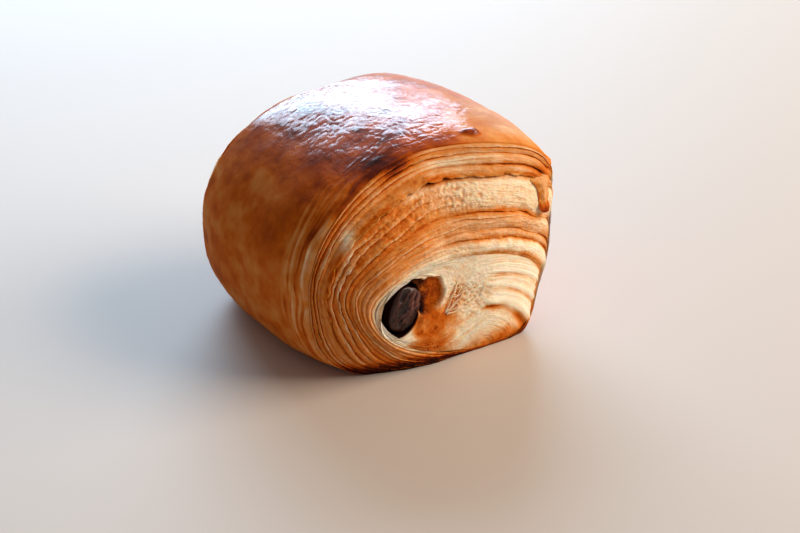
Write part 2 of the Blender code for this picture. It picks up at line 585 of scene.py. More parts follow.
def browning_group() -> None:
    """Turns how far the dough is baked into its colour, with fine mottling and thin streaks."""
    graph, given = start_group(
        Effect.BROWNING, {"Bake": 0.4, "Mottle": 0.1, "Mottle size": 500.0}, "Colour", "NodeSocketColor"
    )
    place = graph.add("TexCoord").outputs["Object"]
    noise = {"Vector": place, "Scale": given["Mottle size"], "Detail": 6.0, "Roughness": 0.62}
    cloud = graph.add("TexNoise", noise).outputs["Fac"]
    centred = graph.maths("SUBTRACT", cloud, 0.5)
    change = graph.maths("MULTIPLY", centred, given["Mottle"])
    bake = graph.maths("ADD", given["Bake"], change, limit=True)
    ramp = graph.add("ValToRGB", {"Fac": bake})
    for index, (at, tone) in enumerate(BAKE_TONES):
        stop = ramp.color_ramp.elements[index] if index < 2 else ramp.color_ramp.elements.new(at)
        stop.position = at
        stop.color = linear(*tone)
    graph.add("NodeGroupOutput", {"Colour": ramp.outputs["Color"]})


def grain_group() -> None:
    """A fine uneven height, for a Bump node."""
    graph, given = start_group(
        Effect.GRAIN, {"Size": 1200.0, "Pores": 0.3}, "Height", "NodeSocketFloat"
    )
    place = graph.add("TexCoord").outputs["Object"]
    noise = {"Vector": place, "Scale": given["Size"], "Detail": 5.0, "Roughness": 0.6}
    cloud = graph.add("TexNoise", noise).outputs["Fac"]
    cells = graph.add("TexVoronoi", {"Vector": place, "Scale": given["Size"]}).outputs["Distance"]
    pores = graph.maths("MULTIPLY", cells, given["Pores"])
    graph.add("NodeGroupOutput", {"Height": graph.maths("ADD", cloud, pores)})


def leaves_group() -> None:
    """Thin broken lines that follow the dough's leaves: 1 on a leaf's edge, 0 between the leaves."""
    graph, given = start_group(Effect.LEAVES, {"Fineness": 1.0, "Break up": 0.5}, "Line", "NodeSocketFloat")
    flow = graph.add("Attribute", attribute_name="flow").outputs["Vector"]
    scaled = {"Vector": flow, "Scale": given["Fineness"], "Detail": 3.0, "Roughness": 0.7}
    waves = graph.maths("SUBTRACT", graph.add("TexNoise", scaled).outputs["Fac"], 0.5)
    ridge = graph.maths("MULTIPLY", graph.maths("ABSOLUTE", waves, 0.0), 9.0)
    line = graph.maths("SUBTRACT", 1.0, ridge, limit=True)
    place = graph.add("TexCoord").outputs["Object"]
    patchy = graph.add("TexNoise", {"Vector": place, "Scale": 260.0, "Detail": 2.0}).outputs["Fac"]
    patchy = graph.maths("SUBTRACT", patchy, 0.5)
    patchy = graph.maths("ADD", 1.0, graph.maths("MULTIPLY", patchy, given["Break up"]))
    graph.add("NodeGroupOutput", {"Line": graph.maths("MULTIPLY", line, patchy)})


def wrinkles_group() -> None:
    """The height of a thin skin that has dried and wrinkled: round cushions with sharp creases between them."""
    graph, given = start_group(Effect.WRINKLES, {"Size": 500.0}, "Height", "NodeSocketFloat")
    place = graph.add("TexCoord").outputs["Object"]
    bend = graph.add("TexNoise", {"Vector": place, "Scale": 260.0, "Detail": 3.0}).outputs["Color"]
    moved = graph.add("VectorMath", {0: bend, 1: (0.005, 0.005, 0.005)}, operation="MULTIPLY").outputs[0]
    place = graph.add("VectorMath", {0: place, 1: moved}, operation="ADD").outputs[0]
    noise = {"Vector": place, "Scale": given["Size"], "Detail": 3.0, "Roughness": 0.55}
    waves = graph.maths("SUBTRACT", graph.add("TexNoise", noise).outputs["Fac"], 0.5)
    graph.add("NodeGroupOutput", {"Height": graph.maths("MULTIPLY", graph.maths("ABSOLUTE", waves, 0.0), 4.0)})


@dataclass(frozen=True)
class BakedFinish:
    """Baked dough, from pale crumb to glazed crust.

    Lengths are in metres and the sizes of textures in features to the metre. `leaf_shade` is how much paler the
    leaves' edges are than the bake round them, and `leaf_height` is how far they stand out.
    """

    name: str
    mottle: float = 0.12
    mottle_size: float = 420.0
    dry_roughness: float = 0.62
    glazed_roughness: float = 0.3
    shine: float = 0.05
    coat: float = 0.0
    coat_roughness: float = 0.12
    grain_size: float = 1300.0
    grain_height: float = 0.00012
    pores: float = 0.4
    glow: float = 0.35
    leaf_shade: float = 0.0
    leaf_height: float = 0.0
    leaf_fineness: float = 1.0
    wrinkle_height: float = 0.0
    wrinkle_size: float = 420.0
    # The colour mixed in by the stain mark: dark chocolate stain on the crumb, a pinkish painted sheen on the
    # glazed crust.
    stain_and_sheen: tuple[int, int, int] = (22, 6, 4)

    def material(self) -> bpy.types.Material:
        """Makes the material. It reads the marks bake, stain_and_sheen, glaze and, for leaves, flow."""
        made = bpy.data.materials.new(self.name)
        made.use_nodes = True
        graph = Graph(made.node_tree)
        bake = graph.mark("bake")
        grain = graph.effect(Effect.GRAIN, {"Size": self.grain_size, "Pores": self.pores})
        height = graph.maths("MULTIPLY", grain.outputs["Height"], self.grain_height)
        if self.leaf_height:
            leaves = graph.effect(Effect.LEAVES, {"Fineness": self.leaf_fineness, "Break up": 1.6})
            line = leaves.outputs["Line"]
            bake = graph.maths("SUBTRACT", bake, graph.maths("MULTIPLY", line, self.leaf_shade))
            height = graph.maths("ADD", height, graph.maths("MULTIPLY", line, self.leaf_height))
        glaze = graph.mark("glaze")
        if self.coat:
            wrinkles = graph.effect(Effect.WRINKLES, {"Size": self.wrinkle_size}).outputs["Height"]
            skin = graph.maths("MULTIPLY", wrinkles, graph.spread(glaze, (0.1, 0.8, 0.2, 1.0)))
            height = graph.maths("ADD", height, graph.maths("MULTIPLY", skin, self.wrinkle_height))
        browning = {"Bake": bake, "Mottle": self.mottle, "Mottle size": self.mottle_size}
        dough = graph.effect(Effect.BROWNING, browning)
        # Mixes in the stain colour: chocolate stain on the crumb, painted sheen on the crust.
        mixed = graph.add("Mix", {"Factor": graph.mark("stain_and_sheen")}, data_type="RGBA")
        graph.join(dough.outputs["Colour"], mixed.inputs["A"])
        mixed.inputs["B"].default_value = linear(*self.stain_and_sheen)
        roughness = graph.spread(glaze, (0.0, 1.0, self.dry_roughness, self.glazed_roughness))
        relief = graph.add("Bump", {"Height": height, "Distance": 1.0})
        shader = graph.add(
            "BsdfPrincipled",
            {
                "Base Color": mixed.outputs["Result"],
                "Roughness": roughness,
                "Specular IOR Level": self.shine,
                "Normal": relief.outputs["Normal"],
                "Subsurface Weight": self.glow,
                "Subsurface Radius": (1.0, 0.4, 0.15),
                "Subsurface Scale": 0.002,
                "Coat Roughness": self.coat_roughness,
            },
        )
        if self.coat:
            whole = graph.spread(wrinkles, (0.05, 0.32, 0.55, 1.0))
            graph.join(graph.maths("MULTIPLY", graph.maths("MULTIPLY", glaze, whole), self.coat), shader.inputs["Coat Weight"])
        graph.add("OutputMaterial", {"Surface": shader.outputs[0]})
        return made


@dataclass(frozen=True)
class ChocolateFinish:
    """Dark chocolate that has melted and set again, with pale bloom and a painted highlight."""

    name: str = "set_chocolate"
    dark: tuple[int, int, int] = (34, 11, 7)
    light: tuple[int, int, int] = (136, 70, 54)
    roughness: float = 0.3

    def material(self) -> bpy.types.Material:
        """Makes the material. It reads the bloom mark, which pales the chocolate for bloom and for a painted
        highlight.
        """
        made = bpy.data.materials.new(self.name)
        made.use_nodes = True
        graph = Graph(made.node_tree)
        mixed = graph.add("Mix", {"Factor": graph.mark("bloom_and_highlight")}, data_type="RGBA")
        mixed.inputs["A"].default_value = linear(*self.dark)
        mixed.inputs["B"].default_value = linear(*self.light)
        grain = graph.effect(Effect.GRAIN, {"Size": 1500.0, "Pores": 0.2})
        relief = graph.add("Bump", {"Height": grain.outputs["Height"], "Distance": 0.00008})
        roughness = graph.spread(graph.mark("bloom_and_highlight"), (0.0, 1.0, self.roughness, self.roughness + 0.15))
        shader = graph.add(
            "BsdfPrincipled",
            {
                "Base Color": mixed.outputs["Result"],
                "Roughness": roughness,
                "Normal": relief.outputs["Normal"],
            },
        )
        graph.add("OutputMaterial", {"Surface": shader.outputs[0]})
        return made


@dataclass(frozen=True)
class Fold:
    """A line on an end where one wrap's edge laps over the next wrap in.

    Sizes are in millimetres. `pale` pales the lip, a painted highlight, and `dark` darkens the gap, browner dough
    and painted shade; `jag` says how far the lip wanders to and fro, and the fold is strongest at the angle `at`,
    fading over `reach` degrees from there. `halo` is how much darker the bake is along the line, softly, as far as
    `width` to
    each side: browner dough and painted shade.
    """

    share: float
    gap: float = 0.5
    lip: float = 0.5
    lean: float = 0.2
    jag: float = 0.15
    pale: float = 0.16
    dark: float = 0.25
    at: float = 90.0
    reach: float = 400.0
    lapped: bool = False
    halo: float = 0.0
    width: float = 1.0


@dataclass(frozen=True)
class Step:
    """One row of a fold's profile: how far out it lies, and how much of the gap and of the lip it has."""

    out: float
    gap: float = 0.0
    lip: float = 0.0
    lean: float = 0.0
    lapped: bool = True


LAPPED_STEPS = (
    Step(-3.0, lapped=False),
    Step(-1.6, gap=0.45, lapped=False),
    Step(-0.5, gap=1.0, lapped=False),
    Step(0.9, gap=0.95, lapped=False),
    Step(0.7, gap=0.3, lean=0.4),
    Step(0.0, lip=1.0, lean=1.0),
    Step(0.9, lip=1.0, lean=0.9),
    Step(2.0, lip=0.5, lean=0.3),
    Step(3.6, lip=0.1),
)
MAIN_STEPS = (
    Step(-3.2, lapped=False),
    Step(-2.0, gap=0.35, lapped=False),
    Step(-1.0, gap=0.85, lapped=False),
    Step(-0.2, gap=1.0, lapped=False),
    Step(0.5, lip=0.8, lean=1.0),
    Step(1.3, lip=1.0, lean=0.9),
    Step(2.3, lip=0.5, lean=0.3),
    Step(3.6, lip=0.1),
)
LIP_ROW = 5
FINE_STEPS = (
    Step(-1.6),
    Step(-0.4, gap=1.0),
    Step(0.7, lip=1.0),
    Step(2.0, lip=0.4),
)

FRONT_FOLDS = (
    Fold(0.014, 0.55, 0.45, pale=0.02, dark=0.20, at=35, reach=60, halo=0.55, width=0.9),
    Fold(0.085, 0.30, 0.40, at=190, reach=75),
    Fold(0.173, 0.45, 0.60, jag=0.3, pale=0.06, dark=0.16, at=35, reach=75, halo=0.26, width=1.1),
    Fold(0.249, 0.35, 0.50, pale=0.12, dark=0.14, at=25, reach=70, halo=0.18, width=1.0),
    Fold(0.310, 0.45, 0.65, pale=0.28, dark=0.22, at=175, reach=80),
    Fold(0.370, 0.20, 0.35, dark=0.14, at=120, reach=100),
    Fold(0.428, 0.45, 0.55, jag=0.3, pale=0.06, dark=0.10, at=40, reach=75, halo=0.22, width=1.0),
    Fold(0.505, 0.40, 0.60, pale=0.24, dark=0.22, at=185, reach=75),
    Fold(0.590, 0.35, 0.55, jag=0.4, pale=0.26, dark=0.20, at=165, reach=70),
    Fold(0.665, 0.35, 0.50, jag=0.4, pale=0.22, dark=0.20, at=175, reach=65),
    Fold(0.744, 1.00, 1.60, lean=1.4, jag=0.8, pale=0.16, dark=0.20, at=100, reach=80, lapped=True, halo=0.34, width=1.1),
    Fold(0.818, 0.40, 0.45, lean=0.2, pale=0.14, dark=0.16, at=25, reach=60, halo=0.26, width=0.8),
    Fold(0.870, 0.45, 0.65, lean=0.3, pale=0.24, dark=0.26, at=165, reach=85),
    Fold(0.912, 0.35, 0.50, lean=0.2, pale=0.18, dark=0.16, halo=0.14, width=0.6),
    Fold(0.955, 0.35, 0.50, lean=0.2, pale=0.20),
)
BACK_FOLDS = (
    Fold(0.020, 0.50, 0.40, pale=0.02, dark=0.40, at=150, reach=60),
    Fold(0.090, 0.25, 0.30),
    Fold(0.170, 0.35, 0.45, jag=0.35),
    Fold(0.260, 0.50, 0.50, at=20, reach=90),
    Fold(0.350, 0.30, 0.40),
    Fold(0.440, 0.50, 0.55, dark=0.36, at=120, reach=80),
    Fold(0.530, 0.30, 0.40),
    Fold(0.630, 1.10, 1.40, lean=1.0, jag=0.4, pale=0.30, dark=0.36, at=70, reach=80, lapped=True),
    Fold(0.715, 0.35, 0.40),
    Fold(0.790, 0.60, 0.60, lean=0.2, at=150, reach=90),
    Fold(0.860, 0.45, 0.50, lean=0.2, pale=0.20),
    Fold(0.910, 0.35, 0.50, lean=0.2, pale=0.18),
    Fold(0.955, 0.40, 0.55, lean=0.2, pale=0.18),
)


@dataclass(frozen=True)
class Patch:
    """A place on an end that is baked or raised unlike what lies round it."""

    centre: Place
    radii: Place
    tilt: float = 0.0
    bake: float = 0.0
    height: float = 0.0


FRONT_PATCHES = (
    Patch((-28.5, 42.5), (1.6, 4.0), -22, bake=-0.42, height=0.2),
    Patch((-7.5, 50.7), (5.2, 1.1), 10, bake=-0.26),
    Patch((7.0, 55.0), (11.0, 1.4), -2, bake=-0.20),
    Patch((-6.0, 34.4), (9.0, 3.0), 14, bake=-0.18),
    Patch((-8.5, 58.0), (5.5, 2.4), 18, bake=0.44),
    Patch((-17.0, 54.5), (4.5, 2.0), 36, bake=-0.12),
    Patch((37.0, 31.5), (3.5, 2.5), -30, bake=-0.16),
    Patch((35.0, 47.0), (5.0, 2.2), -12, bake=0.26),
)
BACK_PATCHES = (
    Patch((26.0, 40.0), (1.6, 4.0), 28, bake=-0.30, height=0.2),
    Patch((4.0, 50.0), (9.0, 1.4), -6, bake=-0.10),
    Patch((-16.0, 47.0), (6.0, 2.0), 30, bake=0.16),
    Patch((-26.0, 30.0), (2.0, 7.0), 0, bake=-0.12),
)

BAND_SHARES = (
    0.00, 0.07, 0.14, 0.173, 0.20, 0.235, 0.25, 0.27, 0.36, 0.41, 0.428, 0.45, 0.52, 0.68, 0.72, 0.744, 0.76,
    0.80, 0.818, 0.84, 0.90, 1.0,
)
LEFT_BAKES = (
    0.10, 0.36, 0.48, 0.46, 0.46, 0.50, 0.50, 0.50, 0.54, 0.56, 0.57, 0.58, 0.60, 0.56, 0.54, 0.58, 0.48,
    0.46, 0.50, 0.50, 0.56, 0.64,
)
RIGHT_BAKES = (
    0.10, 0.07, 0.16, 0.46, 0.26, 0.30, 0.42, 0.34, 0.34, 0.38, 0.48, 0.27, 0.19, 0.18, 0.30, 0.58, 0.26,
    0.32, 0.48, 0.30, 0.38, 0.52,
)


@dataclass
class RimLines:
    """What the wraps' lines do where they run out over the rim, for the crust to carry on."""

    angle: Array
    height: Array
    bake: Array

    def at(self, angle: Array) -> Section:
        """The height and the change of bake at angles round the roll."""
        height = np.interp(angle, self.angle, self.height, period=FULL_TURN)
        return height, np.interp(angle, self.angle, self.bake, period=FULL_TURN)


@dataclass
class WrapEnd:
    """The edges of the dough's wraps on one end of the roll, from its heart to the rim."""

    face: Face
    folds: tuple[Fold, ...]
    patches: tuple[Patch, ...]
    seed: int
    columns: int = 520
    fine_spacing: float = 0.06
    row_spacing: float = 0.5
    thickest: float = 28.0
    step: float = 0.36
    drift: float = 0.36
    # How dark the gaps can get, browner dough and painted shade, and how pale the lips' painted highlight can get.
    gap_bake: float = 0.80
    lip_bake: float = 0.12
    cuts: tuple[float, ...] = (0.0, 0.485, 1.0)
    wander: float = 0.8
    pillow: float = 0.24
    flow_length: float = 9.0
    flow_width: float = 1.9
    low_bake: float = 0.55
    noise: Field = field(init=False)
    tips: list[Section] = field(init=False)
    lines: list[tuple[Fold, Array, Array]] = field(init=False)
    laps: dict[int, int] = field(init=False)

    def __post_init__(self) -> None:
        """Works out the lines that the wraps lie between, and the distance run round the roll."""
        self.noise = Field(self.seed)
        self.angle = FORM.columns(self.columns)
        self.inner = FORM.heart(self.angle)
        self.outer = FORM.last_wrap(self.angle)
        self.thickness = np.hypot(self.outer[0] - self.inner[0], self.outer[1] - self.inner[1])
        middle_x, middle_z = between(self.inner, self.outer, 0.5)
        steps = np.hypot(np.diff(middle_x, append=middle_x[:1]), np.diff(middle_z, append=middle_z[:1]))
        self.run = np.concatenate([[0], np.cumsum(steps)])
        self.fit = np.clip(self.thickness / 13, 0.35, 1)

    def around(self, size: float, shift: float = 0.0) -> Section:
        """A closed pair of coordinates round the roll, for noise of this size."""
        turn = self.run[:-1] / self.run[-1] * FULL_TURN
        reach = self.run[-1] / size / FULL_TURN
        return reach * np.cos(turn) + shift, reach * np.sin(turn) + shift

    def all_folds(self) -> list[tuple[Fold, tuple[Step, ...]]]:
        """The folds with fine ones put between them, each with its profile, from the heart out."""
        found = []
        picks = np.random.default_rng(self.seed)
        low = 0.0
        for fold in (*self.folds, None):
            high = fold.share if fold else 1.0
            count = max(0, round((high - low) / self.fine_spacing) - 1)
            for index in range(count):
                share = low + (high - low) * (index + 1 + picks.uniform(-0.25, 0.25)) / (count + 1)
                size = picks.uniform(0.3, 1.0)
                fine = Fold(share, 0.12 * size, 0.26 * size, pale=0.18 * size, dark=0.12 * size)
                found.append((fine, FINE_STEPS))
            if fold:
                found.append((fold, LAPPED_STEPS if fold.lapped else MAIN_STEPS))
            low = high
        return found

    def strength(self, fold: Fold, steps: tuple[Step, ...]) -> Array:
        """How strong a fold is round the roll. Fine folds come and go."""
        wide = bump(self.angle, fold.at, fold.reach)
        turn = self.noise.smooth(*self.around(9.0, fold.share * 50), fold.share * 31 + 0.5)
        ragged = self.noise.smooth(*self.around(2.2, fold.share * 80), fold.share * 47 + 0.5)
        if steps is FINE_STEPS:
            calm = 1 - 0.97 * ease(np.cos(self.angle), -0.1, 0.45)
            if 0.74 < fold.share < 0.86:
                calm = calm * (1 - 0.9 * bump(self.angle, 75, 45))
            return wide * calm * np.clip(0.35 + 1.5 * turn + 0.4 * ragged, 0.0, 1.3)
        return wide * np.clip(0.8 + 0.5 * turn + 0.35 * ragged, 0.1, 1.4)

    def rows(self) -> tuple[Array, Array, Array]:
        """Works out every row: its share, its height and what it does to the bake."""
        folds = self.all_folds()
        self.tips, self.lines, self.laps = [], [], {}
        ends = [0.0, *(fold.share for fold, _ in folds), 1.0]
        mains = [fold.share for fold in self.folds] + [1.0]
        zero = np.zeros_like(self.angle)
        made = [(zero, zero, zero)]
        start, lap = 0.0, 0.3 * self.fit
        for index, (fold, steps) in enumerate(folds):
            low, high = ends[index], ends[index + 2]
            room = min(fold.share - low, high - fold.share)
            unit = np.minimum(self.step / self.thickness, 0.42 * room / max(abs(step.out) for step in steps))
            force = self.strength(fold, steps)
            shallow = 0.75 - 0.3 * ease(np.cos(self.angle), -0.1, 0.5)
            lean = np.minimum(fold.lean * force / self.thickness, 0.35 * room)
            jag = self.noise.rough(*self.around(1.9, fold.share * 60), fold.share * 23 + 0.5, octaves=2)
            jag = np.clip(fold.jag * jag / self.thickness, -0.25 * room, 0.25 * room)
            jag = jag + self.drift * room * self.noise.smooth(*self.around(11.0, fold.share * 90), 0.5)
            if fold.halo:
                self.lines.append((fold, fold.share - 0.5 * unit + jag, force))
            before = start, lap
            if steps is not FINE_STEPS:
                start, lap = fold.share, force * shallow * self.fit * fold.lip * 0.75
            stop = next(share for share in mains if share > start)
            if steps is not FINE_STEPS:
                self.tips.append((len(made) + LIP_ROW, force))
            if fold.lapped:
                self.laps[len(made)] = len(steps)
            for step in steps:
                place = fold.share + step.out * unit - step.lean * lean + jag
                since, rise = (start, lap) if step.lapped else before
                until = stop if step.lapped else fold.share
                slope = rise * np.clip((until - place) / (until - since), 0, 1)
                ridge = 0.5 * step.lip * fold.lip - step.gap * fold.gap
                height = slope + force * shallow * self.fit * ridge
                # Each row darkens by its share of the gap, browner dough and painted shade, and pales by its share
                # of the lip, a painted highlight that is stronger on the left.
                left = 1 + 0.25 * ease(-np.cos(self.angle), 0.0, 0.6) * (fold.pale > 0.1)
                made.append((place, height, force * (step.gap * fold.dark - step.lip * fold.pale * left)))
            count = max(0, int((high - fold.share) * self.thickest / self.row_spacing) - 3)
            for part in range(count):
                place = fold.share + (high - fold.share) * (0.45 + 0.25 * (part + 0.5) / count)
                made.append((zero + place, lap * np.clip((stop - place) / (stop - start), 0, 1), zero))
        made.append((zero + 1, zero, zero))
        share, height, bake = (np.stack(part) for part in zip(*made))
        self.keep_apart(share)
        return share, height, bake

    def keep_apart(self, share: Array) -> None:
        """Moves rows out where they would cross the row before, leaving the lapped folds their overhang."""
        reached = share[0] - 1
        row = 0
        while row < len(share):
            count = self.laps.get(row, 1)
            share[row : row + count] += np.maximum(reached + 1e-4 - share[row], 0)
            reached = share[row : row + count].max(0)
            row += count
        np.clip(share, 0, 1, out=share)

    def bands(self, share: Array, folds: list[Fold] | tuple[Fold, ...]) -> Section:
        """How the wraps swell between the main folds.

        Args:
            share: Places between the heart and the rim.
            folds: The folds that the wraps swell between.

        Returns:
            The height of the swell, and how near the place is to a valley between two wraps, from 0 to 1.
        """
        edges = np.array([0.0, *(fold.share for fold in folds), 1.0])
        band = np.clip(np.searchsorted(edges, share, side="right") - 1, 0, len(edges) - 2)
        wide = edges[band + 1] - edges[band]
        across = 2 * (share - edges[band]) / wide - 1
        swell = self.pillow * np.minimum(wide * self.thickness, 4.0) * (1 - across**2)
        return swell, np.abs(across) ** 3

    def surface(self) -> tuple[Array, Array, Array, Array, Array]:
        """Works out where every point of the end lies, how high it stands and how far it is baked."""
        share, height, tone = self.rows()
        waver = self.noise.rough(*self.around(12.0), share * 4.0, octaves=3) * self.wander
        moved = np.clip(share + waver * np.sin(np.pi * share) / self.thickness, 0, 1)
        x, z = between(self.inner, self.outer, moved)
        right = ease(x + 0.25 * z, -4, 26)
        bake = np.interp(share, BAND_SHARES, RIGHT_BAKES) * right
        bake = bake + np.interp(share, BAND_SHARES, LEFT_BAKES) * (1 - right)
        bake = bake + self.low_bake * (1 - ease(z, 1.0, 7.0))
        # The gaps' darkening, browner dough and painted shade, stops at gap_bake, and the lips' painted highlight
        # at lip_bake.
        darker = np.maximum(tone, 0) * np.clip((self.gap_bake - bake) / 0.3, 0.15, 1)
        bake = bake + darker + np.minimum(tone, 0) * np.clip((bake - self.lip_bake) / 0.3, 0.1, 1)
        swell, valley = self.bands(share, self.folds)
        broad, _ = self.bands(share, [fold for fold, _, _ in self.lines])
        # Darker towards the valleys between wraps on the left: painted shade.
        bake = bake + (0.08 * valley - 0.03) * (1 - right)
        height = height + swell + (broad - swell) * right
        # A soft darker line along each haloed fold: browner dough and painted shade.
        for fold, line, force in self.lines:
            bake = bake + fold.halo * force * np.exp(-(((share - line) * self.thickness / fold.width) ** 2))
        radial = share * self.thickness
        crumb = ease(share, 0.40, 0.5) * (1 - ease(share, 0.67, 0.71)) * bump(self.angle, 95, 58)
        warp = 1.1 * self.noise.smooth(x / 1.9, z / 1.9, radial * 0 + 1.5)
        lumps = 0.45 - self.noise.cells(x / 0.95 + warp, z / 0.8 + warp)
        grainy = lumps + 0.5 * self.noise.rough(x / 1.3, z / 1.3, radial * 0 + 3.5, octaves=3)
        fine_grain = self.noise.rough(x / 0.7, z / 0.7, radial * 0 + 9.5, octaves=2)
        streak = self.noise.rough(*self.around(3.0, 9.0), radial / 0.5, octaves=3)
        smooth = 1 - 0.55 * ease(x, 6, 22)
        height = height + self.fit * smooth * (0.12 * streak + (0.10 + 0.45 * crumb) * grainy + 0.08 * fine_grain)
        height = height + 0.7 * self.fit * self.noise.rough(*self.around(9.0, 4.0), share * 7, octaves=2)
        # The lumps of grain are paler where they stand up and darker in their dips: painted highlight and shade.
        bake = bake + 0.08 * streak - (0.05 + 0.16 * crumb) * grainy - 0.05 * fine_grain
        for patch in self.patches:
            there = spot(x, z, patch.centre, patch.radii, patch.tilt)
            bake, height = bake + patch.bake * there, height + patch.height * there
        return share, x, z, height * ease(1 - share, 0.0, 0.02), bake

    def build(self, names: tuple[str, ...], finish: BakedFinish) -> RimLines:
        """Makes the wraps' pieces.

        Args:
            names: Names of the pieces, from the heart out, one for each stretch between two cuts.
            finish: Their finish.

        Returns:
            What the lines do where they run out over the rim.
        """
        share, x, z, height, bake = self.surface()
        leaves = np.argmax(FORM.gauge(x, z) > 0.99, axis=0)
        column = np.arange(self.columns)
        out_x, out_z = x[leaves, column], z[leaves, column]
        lines = RimLines(
            np.arctan2(out_z - FORM.axis, out_x), height[leaves, column], bake[leaves, column]
        )
        points = FORM.on_end(*FORM.hold_in(x, z), self.face, height)
        LeafEdges(self.seed).build(names[0].split("_")[0] + "_leaf_edges", self, points, bake, finish)
        ring = self.around(self.flow_length)
        across = share * self.thickness / self.flow_width
        flow = np.stack([ring[0] + 0 * share, ring[1] + 0 * share, across], -1)
        material = finish.material()
        middle = share.mean(1)
        for name, low, high in zip(names, self.cuts, self.cuts[1:]):
            first = int(np.argmin(np.abs(middle - low)))
            last = int(np.argmin(np.abs(middle - high))) + 1
            marks = {
                "bake": bake[first:last],
                "stain_and_sheen": np.zeros(1),
                "glaze": np.full(1, 0.25),
                "flow": flow[first:last],
            }
            piece = Lattice(name, points[first:last], marks, turned=self.face is Face.FRONT).build()
            piece.data.materials.append(material)
            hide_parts("pastry")
        return lines


class Scraps:
    """Small thin pieces of dough that are joined into one piece."""

    GRID = 16
    CORNERS = ((0, 0), (0, 1), (1, 1), (1, 0))

    def __init__(self) -> None:
        """Starts with none."""
        self.points: list[Array] = []
        self.faces: list[Array] = []
        self.bakes: list[Array] = []
        self.sheets: list[Array] = []
        self.used = 0

    def add(self, ring: Array, bake: Array) -> None:
        """Adds one scrap.

        Args:
            ring: Its points, with rows that go round it and columns that go along it.
            bake: How far each point is baked.
        """
        rows, wide = ring.shape[:2]
        row, column = np.meshgrid(np.arange(rows), np.arange(wide - 1), indexing="ij")
        quads = [(row + down) % rows * wide + column + on for down, on in self.CORNERS]
        self.faces.append(self.used + np.stack(quads, -1).reshape(-1, 4))
        places = [np.stack([(column + on) / wide, (row + down) / rows], -1) for down, on in self.CORNERS]
        cell = np.array(divmod(len(self.points), self.GRID))
        self.sheets.append(((cell + 0.03 + 0.94 * np.stack(places, -2)) / self.GRID).reshape(-1, 2))
        self.points.append(ring.reshape(-1, 3))
        self.bakes.append(np.broadcast_to(bake, (rows, wide)).ravel())
        self.used += rows * wide

    def build(self, name: str, finish: BakedFinish, slot: str = "crumb") -> None:
        """Joins the scraps into one piece.

        Args:
            name: Name of the piece.
            finish: Its finish.
            slot: Not used.
        """
        points = np.concatenate(self.points)
        bake = np.concatenate(self.bakes)
        marks = {"bake": bake, "stain_and_sheen": 0 * bake, "glaze": 0 * bake + 0.25, "flow": points / 3}
        piece = make_piece(name, points, np.concatenate(self.faces), marks, np.concatenate(self.sheets))
        piece.data.materials.append(finish.material())
        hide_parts("pastry")


@dataclass
class LeafEdges:
    """Thin leaves of dough that stand up along the wraps' edges, each with a torn outline."""

    seed: int
    count: int = 260
    longest: int = 46
    shortest: int = 9
    tallest: float = 1.3
    thickness: float = 0.16
    rows: int = 4

    def build(self, name: str, end: WrapEnd, points: Array, bake: Array, finish: BakedFinish) -> None:
        """Makes all the leaves of one end as one piece.

        Args:
            name: Name of the piece.
            end: The wraps that they stand on.
            points: Every point of the wraps' surface.
            bake: How far each of those points is baked.
            finish: Their finish.
        """
        picks = np.random.default_rng(self.seed)
        noise = Field(self.seed)
        outward = np.stack([end.outer[0] - end.inner[0], 0 * end.angle, end.outer[1] - end.inner[1]], -1)
        outward = outward / np.linalg.norm(outward, axis=-1, keepdims=True)
        away = np.array([0.0, end.face.value, 0.0])
        climbs = np.linspace(0, 1, self.rows)
        leaves = Scraps()
        for index in range(self.count):
            row, force = end.tips[int(picks.integers(len(end.tips)))]
            wide = int(picks.integers(self.shortest, self.longest))
            column = (int(picks.integers(0, end.columns)) + np.arange(wide)) % end.columns
            base = points[row, column]
            if FORM.gauge(base[:, 0], base[:, 2]).max() > 0.975 or base[:, 2].min() < 2.5:
                continue
            if force[column].min() < 0.5 or np.cos(end.angle[column]).max() > 0.2:
                continue
            share = np.linspace(0, 1, wide)
            torn = 0.75 + 0.5 * noise.rough(share * wide / 4, share * 0 + index, octaves=3)
            tall = self.tallest * picks.uniform(0.35, 1) * np.sin(np.pi * share) ** 0.6 * torn
            lean = picks.uniform(-0.2, 1.0)
            ring = []
            for side, climb in [(1, part) for part in climbs] + [(-1, part) for part in climbs[::-1]]:
                rise = away * (tall * climb * (1 - 0.25 * climb**2) - 0.4)[:, None]
                shift = -outward[column] * (tall * lean * climb**2)[:, None]
                thick = outward[column] * (side * self.thickness / 2 * (1 - 0.6 * climb))
                ring.append(base + rise + shift + thick)
            climb = np.concatenate([climbs, climbs[::-1]])[:, None]
            # Each leaf pales towards its top edge: painted highlight.
            leaves.add(np.stack(ring), bake[row, column] - 0.14 * climb + 0.12)
        leaves.build(name, finish)


